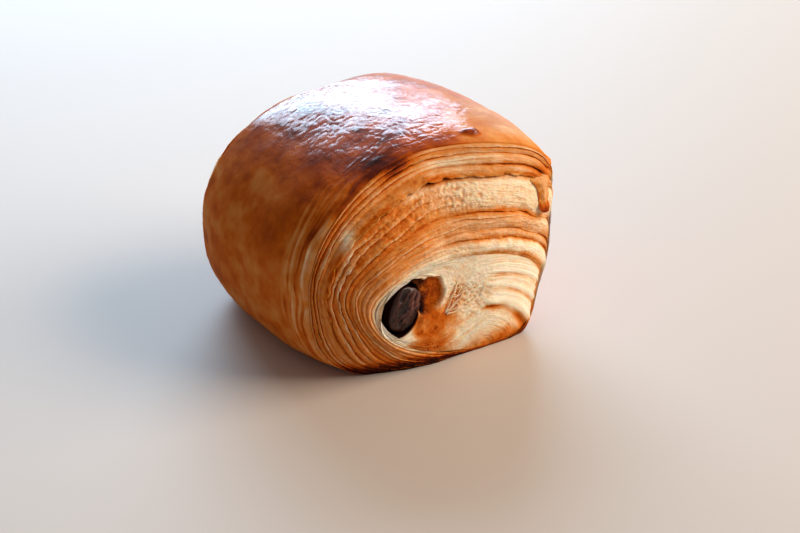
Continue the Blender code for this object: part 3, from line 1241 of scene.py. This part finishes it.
@dataclass
class CrumbWeb:
    """Thin strands of crumb that stretch over the hollow beside the bar, most of them from one root."""

    face: Face
    seed: int
    root: Place = (-0.6, 15.4)
    long_strands: int = 6
    short_strands: int = 22
    hollow: Place = (6.5, 18.8)
    hollow_radii: Place = (7.0, 4.8)
    thinnest: float = 0.09
    thickest: float = 0.17
    columns: int = 16
    sides: int = 6

    def build(self, name: str, finish: BakedFinish) -> None:
        """Makes all the strands as one piece."""
        picks = np.random.default_rng(self.seed)
        strands = Scraps()
        for index in range(self.long_strands):
            way = 8 + 58 * index / (self.long_strands - 1) + picks.uniform(-4, 4)
            start = np.array(self.root) + picks.uniform(-0.5, 0.5, 2)
            self.strand(strands, picks, start, way, picks.uniform(6.5, 11), picks.uniform(0.11, self.thickest))
        for index in range(self.short_strands):
            around, out = picks.uniform(0, FULL_TURN), math.sqrt(picks.random())
            start = np.array(self.hollow) + out * np.array([math.cos(around), math.sin(around)]) * self.hollow_radii
            way = picks.normal(35, 25) if index % 3 else picks.normal(-30, 25)
            self.strand(strands, picks, start, way, picks.uniform(1.4, 4.2), picks.uniform(self.thinnest, 0.13))
        strands.build(name, finish)

    def strand(
        self, strands: Scraps, picks: np.random.Generator, start: Array, way: float, reach: float, radius: float
    ) -> None:
        """Adds one strand.

        Args:
            strands: Where it is added.
            picks: Draws the strand's own bends.
            start: Where it leaves the crumb.
            way: The way it runs, in degrees up from level.
            reach: Its length.
            radius: Its radius.
        """
        along = np.linspace(0, 1, self.columns)
        turn = np.linspace(0, FULL_TURN, self.sides, endpoint=False)[:, None]
        way = math.radians(way)
        side = picks.uniform(-0.13, 0.13) * reach * np.sin(np.pi * along) + 0.12 * np.sin(along * reach * 1.7)
        x = start[0] + along * reach * math.cos(way) - side * math.sin(way)
        z = start[1] + along * reach * math.sin(way) + side * math.cos(way)
        lift = -0.5 + picks.uniform(0.35, 0.65) * np.sin(np.pi * along) ** 0.5
        thick = radius * (1 + 0.6 * np.abs(2 * along - 1) ** 2)
        ring_x = x - thick * np.cos(turn) * math.sin(way)
        ring_z = z + thick * np.cos(turn) * math.cos(way)
        ring = FORM.on_end(ring_x, ring_z, self.face, lift + thick * np.sin(turn))
        strands.add(ring, np.full((1, 1), 0.10 + 0.15 * picks.random()))


@dataclass
class HangingFlap:
    """A loose strip of the last wrap that hangs down over an end, with its tip curled up and browned."""

    face: Face
    seed: int
    top: Place = (34.9, 48.4)
    foot: Place = (36.2, 35.2)
    top_width: float = 10.5
    foot_width: float = 4.8
    thickness: float = 0.5
    columns: int = 44
    rows: int = 18

    def build(self, name: str, finish: BakedFinish) -> None:
        """Makes the strip."""
        noise = Field(self.seed)
        down = np.linspace(0, 1, self.columns)
        across = np.linspace(-1, 1, self.rows)[:, None]
        wide = self.top_width + (self.foot_width - self.top_width) * ease(down, 0, 0.6)
        wide = wide * np.sqrt(np.clip(1 - ((down - 0.55) / 0.46) ** 8 * (down > 0.55), 0, 1))
        wavy = 0.5 * noise.rough(down * 5 + 3, across * 2, octaves=2)
        x = self.top[0] + (self.foot[0] - self.top[0]) * down + across * wide / 2 + wavy
        z = self.top[1] + (self.foot[1] - self.top[1]) * down - 0.9 * across * (1 - down)
        lift = -0.5 + 2.2 * ease(down, 0.0, 0.34) + 0.9 * ease(down, 0.72, 1.0) - 0.6 * across**2
        lift = lift + 0.3 * noise.rough(down * 6, across * 3 + 9, octaves=2)
        thick = self.thickness * np.sqrt(np.clip(1 - np.abs(across) ** 4, 0, 1)) * np.sqrt(1 - down**8 * 0.98)
        front = FORM.on_end(x, z, self.face, lift)
        behind = FORM.on_end(x, z, self.face, lift - thick)
        bake = 0.43 + 0.16 * np.abs(across) ** 3 + 0.34 * ease(down, 0.70, 0.92) + 0.1 * (1 - ease(down, 0, 0.2))
        bake = bake + 0.12 * noise.rough(down * 9, across * 2 + 5, octaves=3)
        strip = Scraps()
        strip.GRID = 1
        strip.add(np.concatenate([front, behind[::-1]]), np.concatenate([bake, bake[::-1] + 0.1]))
        strip.build(name, finish)


@dataclass
class HeartEnd:
    """The middle of an end: pale crumb round the opening that the bar lies in."""

    face: Face
    seed: int
    columns: int = 400
    rows: int = 96
    crumb_bake: float = 0.07
    opening_centre: Place = (-15.9, 21.3)
    opening_radii: Place = (6.5, 8.7)
    opening_tilt: float = -12.0
    tunnel_centre: Place = (-13.4, 20.8)
    tunnel_depth: float = 13.0
    tunnel_rows: int = 16
    arch_centre: Place = (13.0, 1.8)
    arch_power: float = 1.6
    tail_radii: Place = (15.6, 11.8)
    arch_growth: Place = (13.5, 10.5)
    arches: tuple[tuple[float, float, float], ...] = (
        (0.00, 0.80, 0.76),
        (0.50, 0.30, 0.30),
        (0.92, 0.30, 0.32),
        (1.32, 0.15, 0.10),
    )

    def opening(self, angle: Array, grow: float = 1.0) -> Section:
        """The line round the opening."""
        radii = self.opening_radii[0] * grow, self.opening_radii[1] * grow
        return oval(angle, self.opening_centre, radii, 2.2, self.opening_tilt)

    def arch_share(self, x: Array, z: Array) -> Array:
        """Which arch of the crumb a place is on: 0 at the tail's arch, 1 beside the wraps."""
        low, high = np.full(x.shape, -1.0), np.full(x.shape, 2.5)
        for _ in range(14):
            middle = (low + high) / 2
            across = (x - self.arch_centre[0]) / (self.tail_radii[0] + self.arch_growth[0] * middle)
            up = (z - self.arch_centre[1]) / np.maximum(self.tail_radii[1] + self.arch_growth[1] * middle, 0.5)
            outside = np.abs(across) ** self.arch_power + np.abs(up) ** self.arch_power > 1
            low, high = np.where(outside, middle, low), np.where(outside, high, middle)
        return (low + high) / 2

    def relief(self, x: Array, z: Array, share: Array, inside: Array) -> tuple[Array, Array, Array]:
        """Height, bake and stain of the crumb.

        Args:
            x: Places across the roll.
            z: Heights above the ground.
            share: 0 at the opening and 1 beside the wraps.
            inside: How far in from the wraps each place is.

        Returns:
            The height in millimetres, the bake and the stain, at each place.
        """
        noise = Field(self.seed)
        arch = self.arch_share(x, z) + 0.035 * noise.rough(x / 7, z / 7, x * 0 + 0.5, octaves=2)
        lies_right = ease(x, -2, 9)
        height = 0.25 * noise.rough(x / 3.2, z / 3.2, x * 0 + 2.5, octaves=4)
        bake = self.crumb_bake + 0.08 * noise.rough(x / 2.2, z / 2.2, x * 0 + 8.5, octaves=3)
        bake = bake + 0.55 * np.exp(-((inside / 0.9) ** 2)) * ease(x, 2, 14)
        for at, rise, tone in self.arches:
            turn = 0.7 + 0.5 * noise.smooth(x / 5, z / 5, x * 0 + 40 * at + 0.5)
            across = (arch - at) / (0.11 if at == 0 else 0.07)
            lip, gap = np.exp(-((across - 1.1) ** 2)), np.exp(-((across + 0.4) ** 2) * 1.4)
            there = turn * (ease(x, 10, 16) if at == 0 else ease(x, 11, 20))
            height = height + there * (rise * lip - 0.8 * rise * gap)
            bake = bake + there * (tone * gap - 0.08 * lip)
        fine = noise.rough(arch * 26, x / 9, x * 0 + 5.5, octaves=3)
        edge = noise.rough(share * 16, x / 6, z / 6, octaves=3)
        leaves = lies_right * fine + (1 - lies_right) * edge
        rising = math.radians(19)
        fibres = noise.rough((z * math.cos(rising) - x * math.sin(rising)) / 0.9, x / 8, x * 0 + 33.5, octaves=3)
        striped = spot(x, z, (6.0, 8.5), (9.0, 4.0), 19)
        leaves = leaves + striped * (2.2 * fibres - leaves)
        height = height + 0.22 * leaves
        # Paler where the crumb stands up and darker where it dips: painted highlight and shade.
        bake = bake - 0.16 * leaves - 0.10 * (height - 0.1)
        net = spot(x, z, (7.0, 18.5), (9.5, 6.5), -10)
        holes = ease(0.40 - noise.cells(x / 1.3 + 9, z / 1.3), -0.15, 0.3)
        gold = spot(x, z, (2.2, 19.4), (2.4, 4.4), -28)
        height = height - net * 0.35 * holes - 0.8 * gold
        bake = bake + net * 0.24 * holes + 0.38 * gold
        ragged = noise.rough(x / 2.5, z / 2.5, x * 0 + 22.5, octaves=3)
        near_x, near_z = x + 0.8 * ragged, z + 0.8 * ragged
        cavity = np.maximum(
            spot(near_x, near_z, (-6.8, 23.2), (5.2, 5.6)), spot(near_x, near_z, (-11.5, 26.2), (4.8, 3.4), 8)
        )
        pit = ease(cavity, 0.30, 0.46)
        height = height - 1.4 * pit + 0.35 * pit * ragged
        wide_x = x + 2.2 * noise.rough(x / 4, z / 4, x * 0 + 12.5, octaves=3)
        wide_z = z + 2.0 * noise.rough(x / 5, z / 5, x * 0 + 17.5, octaves=2)
        smear = spot(wide_x, wide_z, (-3.8, 14.4), (7.8, 5.0), -22) + 0.8 * spot(x, z, (-9.0, 13.5), (3.0, 3.4))
        smear = ease(smear, 0.15, 0.8)
        bake = bake + 0.56 * ease(spot(wide_x, wide_z, (-7.0, 6.0), (9.5, 5.2), 6), 0.1, 0.8)
        bake = bake + smear * (0.62 - bake + 0.26 * ragged)
        low_edge = 1 - ease(wide_z + 1.2 * np.exp(-(((x - 6) / 6) ** 2)), 1.0, 5.5)
        low_edge = np.maximum(low_edge, spot(wide_x, wide_z, (18.5, 2.0), (7.5, 3.4), 8))
        tear = noise.rough(x / 3, z / 1.5, x * 0 + 6.5, octaves=3)
        bake = bake + low_edge * (0.62 - bake + 0.25 * tear)
        height = height + 0.5 * low_edge * tear - 0.3 * smear * np.abs(ragged)
        bake = bake + pit * (0.72 - bake + 0.24 * ragged)
        specks = ease(0.34 - noise.cells(x / 1.0, z / 1.0 + 5), 0, 0.15)
        stain_and_sheen = 0.35 * pit * specks + 0.85 * pit * ease(-x + 2 * ragged, 5.5, 10)
        beside = spot(x, z, (-9.2, 17.0), (1.5, 4.6), -20)
        stain_and_sheen = stain_and_sheen + 0.35 * ease(beside, 0.3, 0.8)
        dots = ease(0.22 - noise.cells(x / 1.4 + 3, z / 1.4), 0, 0.1) * spot(x, z, (-6.5, 5.5), (4.0, 2.4))
        bake = bake + 0.5 * dots
        return height, bake, np.clip(stain_and_sheen, 0, 1)

    def flow(self, x: Array, z: Array, share: Array) -> Array:
        """Coordinates that run with the crumb's leaves, for the material."""
        lies_right = ease(x, -2, 9)
        across = lies_right * self.arch_share(x, z) * 22 + (1 - lies_right) * share * 18
        return np.stack([x / 7, z / 7, across], -1)

    def build(self, name: str, finish: BakedFinish) -> None:
        """Makes the piece, with the wall of the opening going in beside the bar.

        Args:
            name: Name of the piece.
            finish: Its finish.
        """
        angle = FORM.columns(self.columns)
        share = (np.linspace(0, 1, self.rows) ** 1.15)[:, None] + np.zeros(self.columns)
        x, z = between(self.opening(angle), FORM.heart(angle), share)
        span = np.hypot(*(far - near for far, near in zip(FORM.heart(angle), self.opening(angle))))
        height, bake, stain_and_sheen = self.relief(x, z, share, (1 - share) * span)
        lip = np.exp(-((share / 0.03) ** 2)) * (0.5 - 0.5 * np.cos(angle - 0.3))
        height = (height + 0.5 * lip) * ease(1 - share, 0.0, 0.03)
        face = FORM.on_end(*FORM.hold_in(x, z), self.face, height)
        deep = np.linspace(1, 0, self.tunnel_rows, endpoint=False)[:, None] ** 1.5
        narrow = 1 - 0.12 * np.sqrt(deep) - 0.55 * ease(deep, 0.75, 1.0)
        mouth_x, mouth_z = self.opening(angle)
        tunnel_x = self.tunnel_centre[0] + (mouth_x - self.tunnel_centre[0]) * narrow
        tunnel_z = self.tunnel_centre[1] + (mouth_z - self.tunnel_centre[1]) * narrow
        wall = FORM.on_end(tunnel_x, tunnel_z, self.face, height[0] * (1 - deep))
        wall[..., 1] -= self.face.value * self.tunnel_depth * deep
        points = np.concatenate([wall, face])
        zero = np.zeros_like(tunnel_x)
        # A little way into the tunnel its wall turns nearly black: chocolate stain and painted shade.
        marks = {
            "bake": np.concatenate([zero + bake[0] + 0.6 * ease(deep, 0, 0.06), bake]),
            "stain_and_sheen": np.concatenate([zero + np.maximum(stain_and_sheen[0], ease(deep, 0.0, 0.04)), stain_and_sheen]),
            "glaze": np.full(1, 0.25),
            "flow": np.concatenate([wall / 3, self.flow(x, z, share)]),
        }
        piece = Lattice(name, points, marks, turned=self.face is Face.FRONT).build()
        piece.data.materials.append(finish.material())
        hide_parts("pastry")


@dataclass
class Crust:
    """The glazed outer skin, from one rim to the other, with both edges turned in."""

    front_lines: RimLines
    back_lines: RimLines
    seed: int = 11
    columns: int = 400
    rows: int = 226
    turned_rows: int = 5

    def relief(self, angle: Array, along: Array) -> tuple[Array, Array, Array, Array]:
        """Height, bake, glaze and painted sheen of the crust.

        Args:
            angle: Angles round the roll.
            along: -1 at the front rim and 1 at the back rim.

        Returns:
            The height in millimetres, the bake, the glaze and how strong the painted sheen is, at each place.
        """
        noise = Field(self.seed)
        place = FORM.on_crust(angle, along)
        x, y, z = place[..., 0], place[..., 1], place[..., 2]
        lumps = noise.rough(x / 13, y / 13, z / 13, octaves=2)
        dents = noise.rough(x / 5 + 9, y / 5, z / 5, octaves=2)
        bend = 0.5 * noise.smooth(x / 3, y / 3 + 14, z / 3)
        creases = np.abs(noise.smooth(x / 1.9 + bend, y / 1.9 + 4, z / 1.9 - bend))
        creases = np.clip(creases * 2.2, 0, 1) * (0.6 + 0.4 * noise.smooth(x / 6, y / 6 + 40, z / 6))
        small = np.abs(noise.smooth(x / 0.9, y / 0.9 + 24, z / 0.9 + bend))
        wrinkle = creases + 0.35 * small
        mottle = noise.rough(x / 4, y / 4 + 20, z / 4, octaves=4)
        top = bump(angle, 88, 48)
        height = 0.5 * lumps + 0.16 * dents + 0.19 * top * (wrinkle - 0.6)
        edges = noise.rough(angle * 3, along * 26 + 0.8 * noise.smooth(angle * 5, along * 3), octaves=3)
        near_rim = ease(-along, 0.55, 0.8) * bump(angle, 175, 55)
        height = height + 0.5 * near_rim * np.abs(edges)
        bake = 0.56 + 0.16 * mottle + 0.06 * lumps - near_rim * (0.05 + 0.36 * edges)
        bake = bake + 0.18 * bump(angle, 124, 24) + 0.16 * bump(angle, 88, 30)
        bake = bake - (0.22 - 0.30 * ease(along, -0.4, 0.5)) * bump(angle, 42, 17) + 0.22 * bump(angle, -80, 45)
        bake = bake + 0.18 * bump(angle, 110, 14) * ease(-along, 0.5, 0.95)
        for lines, side in ((self.front_lines, -1), (self.back_lines, 1)):
            fade = ease(along * side, 0.80, 1.0) * ease(np.cos(angle), 0.45, 0.75)
            rise, tone = lines.at(angle)
            height = height + fade * rise
            bake = bake + 0.7 * fade * (np.maximum(tone, 0.34) - bake)
        edge = angle + 0.10 * noise.rough(x / 9, y / 9 + 30, z / 9, octaves=3)
        patchy = 0.25 * noise.rough(x / 6 + 5, y / 6, z / 6 + 50, octaves=3)
        glaze = (0.2 + 0.8 * ease(edge + patchy, 0.85, 1.42)) * ease(edge, 0.3, 0.7)
        glaze = glaze * (1 - ease(edge - patchy, 1.90, 2.55)) * ease(along + 0.2 * patchy, -0.98, -0.74)
        blister = np.exp(-(((angle - math.radians(60)) / 0.065) ** 2) - ((along + 0.85) / 0.052) ** 2)
        height = height + 1.1 * ease(blister, 0.1, 0.8)
        bake = bake + 0.3 * ease(blister, 0.05, 0.5)
        glaze = np.maximum(glaze, ease(blister, 0.3, 0.8))
        # A pinkish painted sheen on the right shoulder towards the front, mixed in as the glazed finish's stain
        # colour.
        painted_sheen = 0.75 * bump(angle, 43, 13) * ease(along + 0.6 * patchy, -1.0, -0.4) * (0.8 + 0.5 * mottle)
        return height, bake, glaze, np.clip(painted_sheen, 0, 1)

    def build(self, name: str, finish: BakedFinish) -> None:
        """Makes the piece.

        Args:
            name: Name of the piece.
            finish: Its finish.
        """
        angle = FORM.top_columns(self.columns)
        along = np.sin(np.linspace(-math.pi / 2, math.pi / 2, self.rows) * 0.86) / math.sin(0.86 * math.pi / 2)
        along, around = np.meshgrid(along, angle, indexing="ij")
        height, bake, glaze, painted_sheen = self.relief(around, along)
        skin = FORM.on_crust(around, along, height)
        front = self.edge(angle, Face.FRONT, skin[0])
        back = self.edge(angle, Face.BACK, skin[-1])
        points = np.concatenate([front, skin, back[::-1]])
        pad = ((self.turned_rows, self.turned_rows), (0, 0))
        marks = {
            "bake": np.pad(bake, pad, mode="edge"),
            "stain_and_sheen": np.pad(painted_sheen, pad, mode="edge"),
            "glaze": np.pad(glaze, pad, mode="edge"),
        }
        piece = Lattice(name, points, marks, turned=True).build()
        piece.data.materials.append(finish.material())
        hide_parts("pastry")

    def edge(self, angle: Array, face: Face, rim: Array) -> Array:
        """Rows that turn the skin's edge inwards, from inside the roll out to the rim."""
        steps = ((0.962, -1.8), (0.967, -1.0), (0.974, -0.3), (0.983, 0.1), (0.994, 0.15))
        rim_x, rim_z = FORM.rim(angle)
        rows = []
        for share, height in steps:
            x, z = rim_x * share, np.maximum(FORM.axis + (rim_z - FORM.axis) * share, 0.05)
            rows.append(FORM.on_end(x, z, face, height))
        return np.stack(rows)


@dataclass
class ChocolateBar:
    """The bar that runs through the roll, with the broken face of each end."""

    seed: int = 5
    centre: Place = (-13.5, 20.0)
    half_width: float = 4.9
    half_height: float = 6.8
    squareness: float = 2.8
    tilt: float = -20.0
    set_back: float = 1.3
    columns: int = 144
    cap_rows: int = 34
    side_rows: int = 60

    def build(self, name: str, finish: ChocolateFinish) -> None:
        """Makes the piece.

        Args:
            name: Name of the piece.
            finish: Its finish.
        """
        noise = Field(self.seed)
        angle = np.linspace(0, FULL_TURN, self.columns, endpoint=False)
        radii = self.half_width, self.half_height
        edge_x, edge_z = oval(angle, (0.0, 0.0), radii, self.squareness, 0)
        low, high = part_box("chocolate_bar")
        half = (high.y - low.y) / 2 / MM
        share = np.sin(np.linspace(0.02, math.pi / 2, self.cap_rows))[:, None]
        cap = [share * edge_x, share * edge_z]
        round_off = 1.3 * (1 - np.sqrt(np.clip(1 - share**6, 0, 1)))
        bent = cap[0] - 0.25 * cap[1] + 0.9 * noise.smooth(cap[0] / 3, cap[1] / 3, cap[0] * 0 + 4.5)
        ridges = 1 - 3 * np.abs(noise.rough(bent / 1.7 + 3, cap[1] / 5.0, cap[0] * 0 + 1.5, octaves=3))
        rise = (0.75 * ridges - 0.4) * (1 - share**4)
        front = np.stack([cap[0], -half - 0.3 + round_off - rise, cap[1]], -1)
        side_y = np.linspace(-half + 1.9, half - 1.9, self.side_rows)[:, None]
        lumps = 1 + 0.02 * noise.rough(np.cos(angle) * 1.4, side_y / 6, np.sin(angle) * 1.4, octaves=2)
        side = np.stack(np.broadcast_arrays(edge_x * lumps, side_y, edge_z * lumps), -1)
        back = np.stack([cap[0], half + 0.3 - round_off + rise, cap[1]], -1)
        points = np.concatenate([front, side, back[::-1]])
        cos, sin = math.cos(math.radians(self.tilt)), math.sin(math.radians(self.tilt))
        x, z = points[..., 0].copy(), points[..., 2].copy()
        points[..., 0] = self.centre[0] + x * cos - z * sin
        points[..., 2] = self.centre[1] + x * sin + z * cos
        # The broken faces are paler on their ridges and carry a painted highlight spot near the top.
        shine = np.exp(-(((cap[0] - 1.8) / 1.8) ** 2) - ((cap[1] - 3.6) / 2.4) ** 2)
        bloom_and_highlight = np.clip(0.10 + 0.45 * rise + 0.9 * shine * (0.4 + rise), 0, 1)
        marks = {"bloom_and_highlight": np.concatenate([bloom_and_highlight, 0.3 + 0 * side[..., 0], bloom_and_highlight[::-1]])}
        piece = Lattice(name, points, marks, turned=True).build()
        piece.data.materials.append(finish.material())
        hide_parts("chocolate_bar")


@dataclass(frozen=True)
class Lamp:
    """A soft panel of light, aimed at the roll."""

    name: str
    azimuth: float
    elevation: float
    distance: float
    size: Place
    power: float
    colour: tuple[float, float, float]

    def build(self, target: Vector) -> None:
        """Places the panel. Azimuth 0 is behind the roll and goes round towards +x."""
        data = bpy.data.lights.new(self.name, "AREA")
        data.shape = "RECTANGLE"
        data.size, data.size_y = self.size
        data.energy = self.power
        data.color = self.colour
        turn, up = math.radians(self.azimuth), math.radians(self.elevation)
        way = Vector((math.sin(turn) * math.cos(up), math.cos(turn) * math.cos(up), math.sin(up)))
        lamp = bpy.data.objects.new(self.name, data)
        lamp.location = target + way * self.distance
        lamp.rotation_euler = (-way).to_track_quat("-Z", "Y").to_euler()
        bpy.context.scene.collection.objects.link(lamp)


@dataclass
class Studio:
    """The floor, the light and the camera."""

    floor_size: float = 3.0
    floor_colour: tuple[int, int, int] = (206, 192, 180)
    world_colour: tuple[int, int, int] = (214, 208, 204)
    world_strength: float = 0.3
    camera_place: tuple[float, float, float] = (-272.88, -406.46, 274.44)
    camera_aim: tuple[float, float, float] = (0.5058, 0.7221, -0.4719)
    camera_roll: float = 0.25
    lens: float = 85.0
    sensor: float = 36.0
    lamps: tuple[Lamp, ...] = (
        Lamp("window", 24.0, 23.0, 1.1, (0.85, 0.66), 17.5, (0.57, 0.78, 1.0)),
        Lamp("side_fill", 122.0, 34.0, 1.2, (0.9, 0.7), 17.0, (1.0, 0.87, 0.73)),
    )

    def build(self) -> None:
        """Makes the floor, the lamps, the world and the camera."""
        self.make_floor()
        self.make_world()
        for lamp in self.lamps:
            lamp.build(Vector((0, 0, 0.03)))
        self.make_camera()
        view = bpy.context.scene.view_settings
        view.view_transform = "Standard"
        view.look = "None"
        view.exposure = 0.0

    def make_floor(self) -> None:
        """Lays a plain pale floor under the roll."""
        half = self.floor_size / 2
        mesh = bpy.data.meshes.new("floor")
        corners = [(-half, -half, 0), (half, -half, 0), (half, half, 0), (-half, half, 0)]
        mesh.from_pydata(corners, [], [(0, 1, 2, 3)])
        floor = bpy.data.objects.new("floor", mesh)
        bpy.context.scene.collection.objects.link(floor)
        made = bpy.data.materials.new("pale_floor")
        made.use_nodes = True
        shader = made.node_tree.nodes["Principled BSDF"]
        shader.inputs["Base Color"].default_value = linear(*self.floor_colour)
        shader.inputs["Roughness"].default_value = 0.6
        mesh.materials.append(made)

    def make_world(self) -> None:
        """Fills the room with plain soft light."""
        world = bpy.data.worlds.new("room")
        world.use_nodes = True
        back = world.node_tree.nodes["Background"]
        back.inputs["Color"].default_value = linear(*self.world_colour)
        back.inputs["Strength"].default_value = self.world_strength
        bpy.context.scene.world = world

    def make_camera(self) -> None:
        """Places the camera before the roll, to its left and above it."""
        data = bpy.data.cameras.new("camera")
        data.lens = self.lens
        data.sensor_width = self.sensor
        data.clip_start, data.clip_end = 0.01, 20
        camera = bpy.data.objects.new("camera", data)
        camera.location = Vector(FORM.place(np.array(self.camera_place)))
        aim = Vector(self.camera_aim)
        turn = aim.to_track_quat("-Z", "Y").to_matrix().to_4x4()
        roll = Matrix.Rotation(math.radians(self.camera_roll), 4, "Z")
        camera.rotation_euler = (turn @ roll).to_euler()
        bpy.context.scene.collection.objects.link(camera)
        bpy.context.scene.camera = camera


def main() -> None:
    """Builds the roll piece by piece, then the studio round it."""
    logging.basicConfig(level=logging.INFO, format="%(name)s %(message)s")
    browning_group()
    grain_group()
    leaves_group()
    wrinkles_group()
    crumb = BakedFinish("laminated_crumb", leaf_shade=0.08, leaf_height=0.00012)
    # The glazed crust's stain colour is a pinkish painted sheen.
    glazed = BakedFinish(
        "glazed_crust", mottle=0.16, mottle_size=380, dry_roughness=0.65, glazed_roughness=0.5, coat=1.0,
        coat_roughness=0.17, grain_height=0.00005, wrinkle_height=0.0001, stain_and_sheen=(180, 124, 110),
    )
    front = WrapEnd(Face.FRONT, FRONT_FOLDS, FRONT_PATCHES, seed=21)
    front_lines = front.build(("front_inner_wraps", "front_outer_wraps"), crumb)
    tender = replace(crumb, name="tender_crumb", leaf_height=0.00006, grain_height=0.00006)
    HeartEnd(Face.FRONT, seed=31).build("front_heart", tender)
    CrumbWeb(Face.FRONT, seed=41).build("crumb_web", tender)
    HangingFlap(Face.FRONT, seed=42).build("hanging_flap", crumb)
    back = WrapEnd(Face.BACK, BACK_FOLDS, BACK_PATCHES, seed=22, columns=300, cuts=(0.0, 1.0))
    back_lines = back.build(("back_wraps",), crumb)
    Crust(front_lines, back_lines).build("crust", glazed)
    HeartEnd(Face.BACK, seed=32, crumb_bake=0.22, columns=240, rows=60).build("back_heart", tender)
    ChocolateBar().build("chocolate_bar_ends", ChocolateFinish())
    Studio().build()


if __name__ == "__main__":
    main()
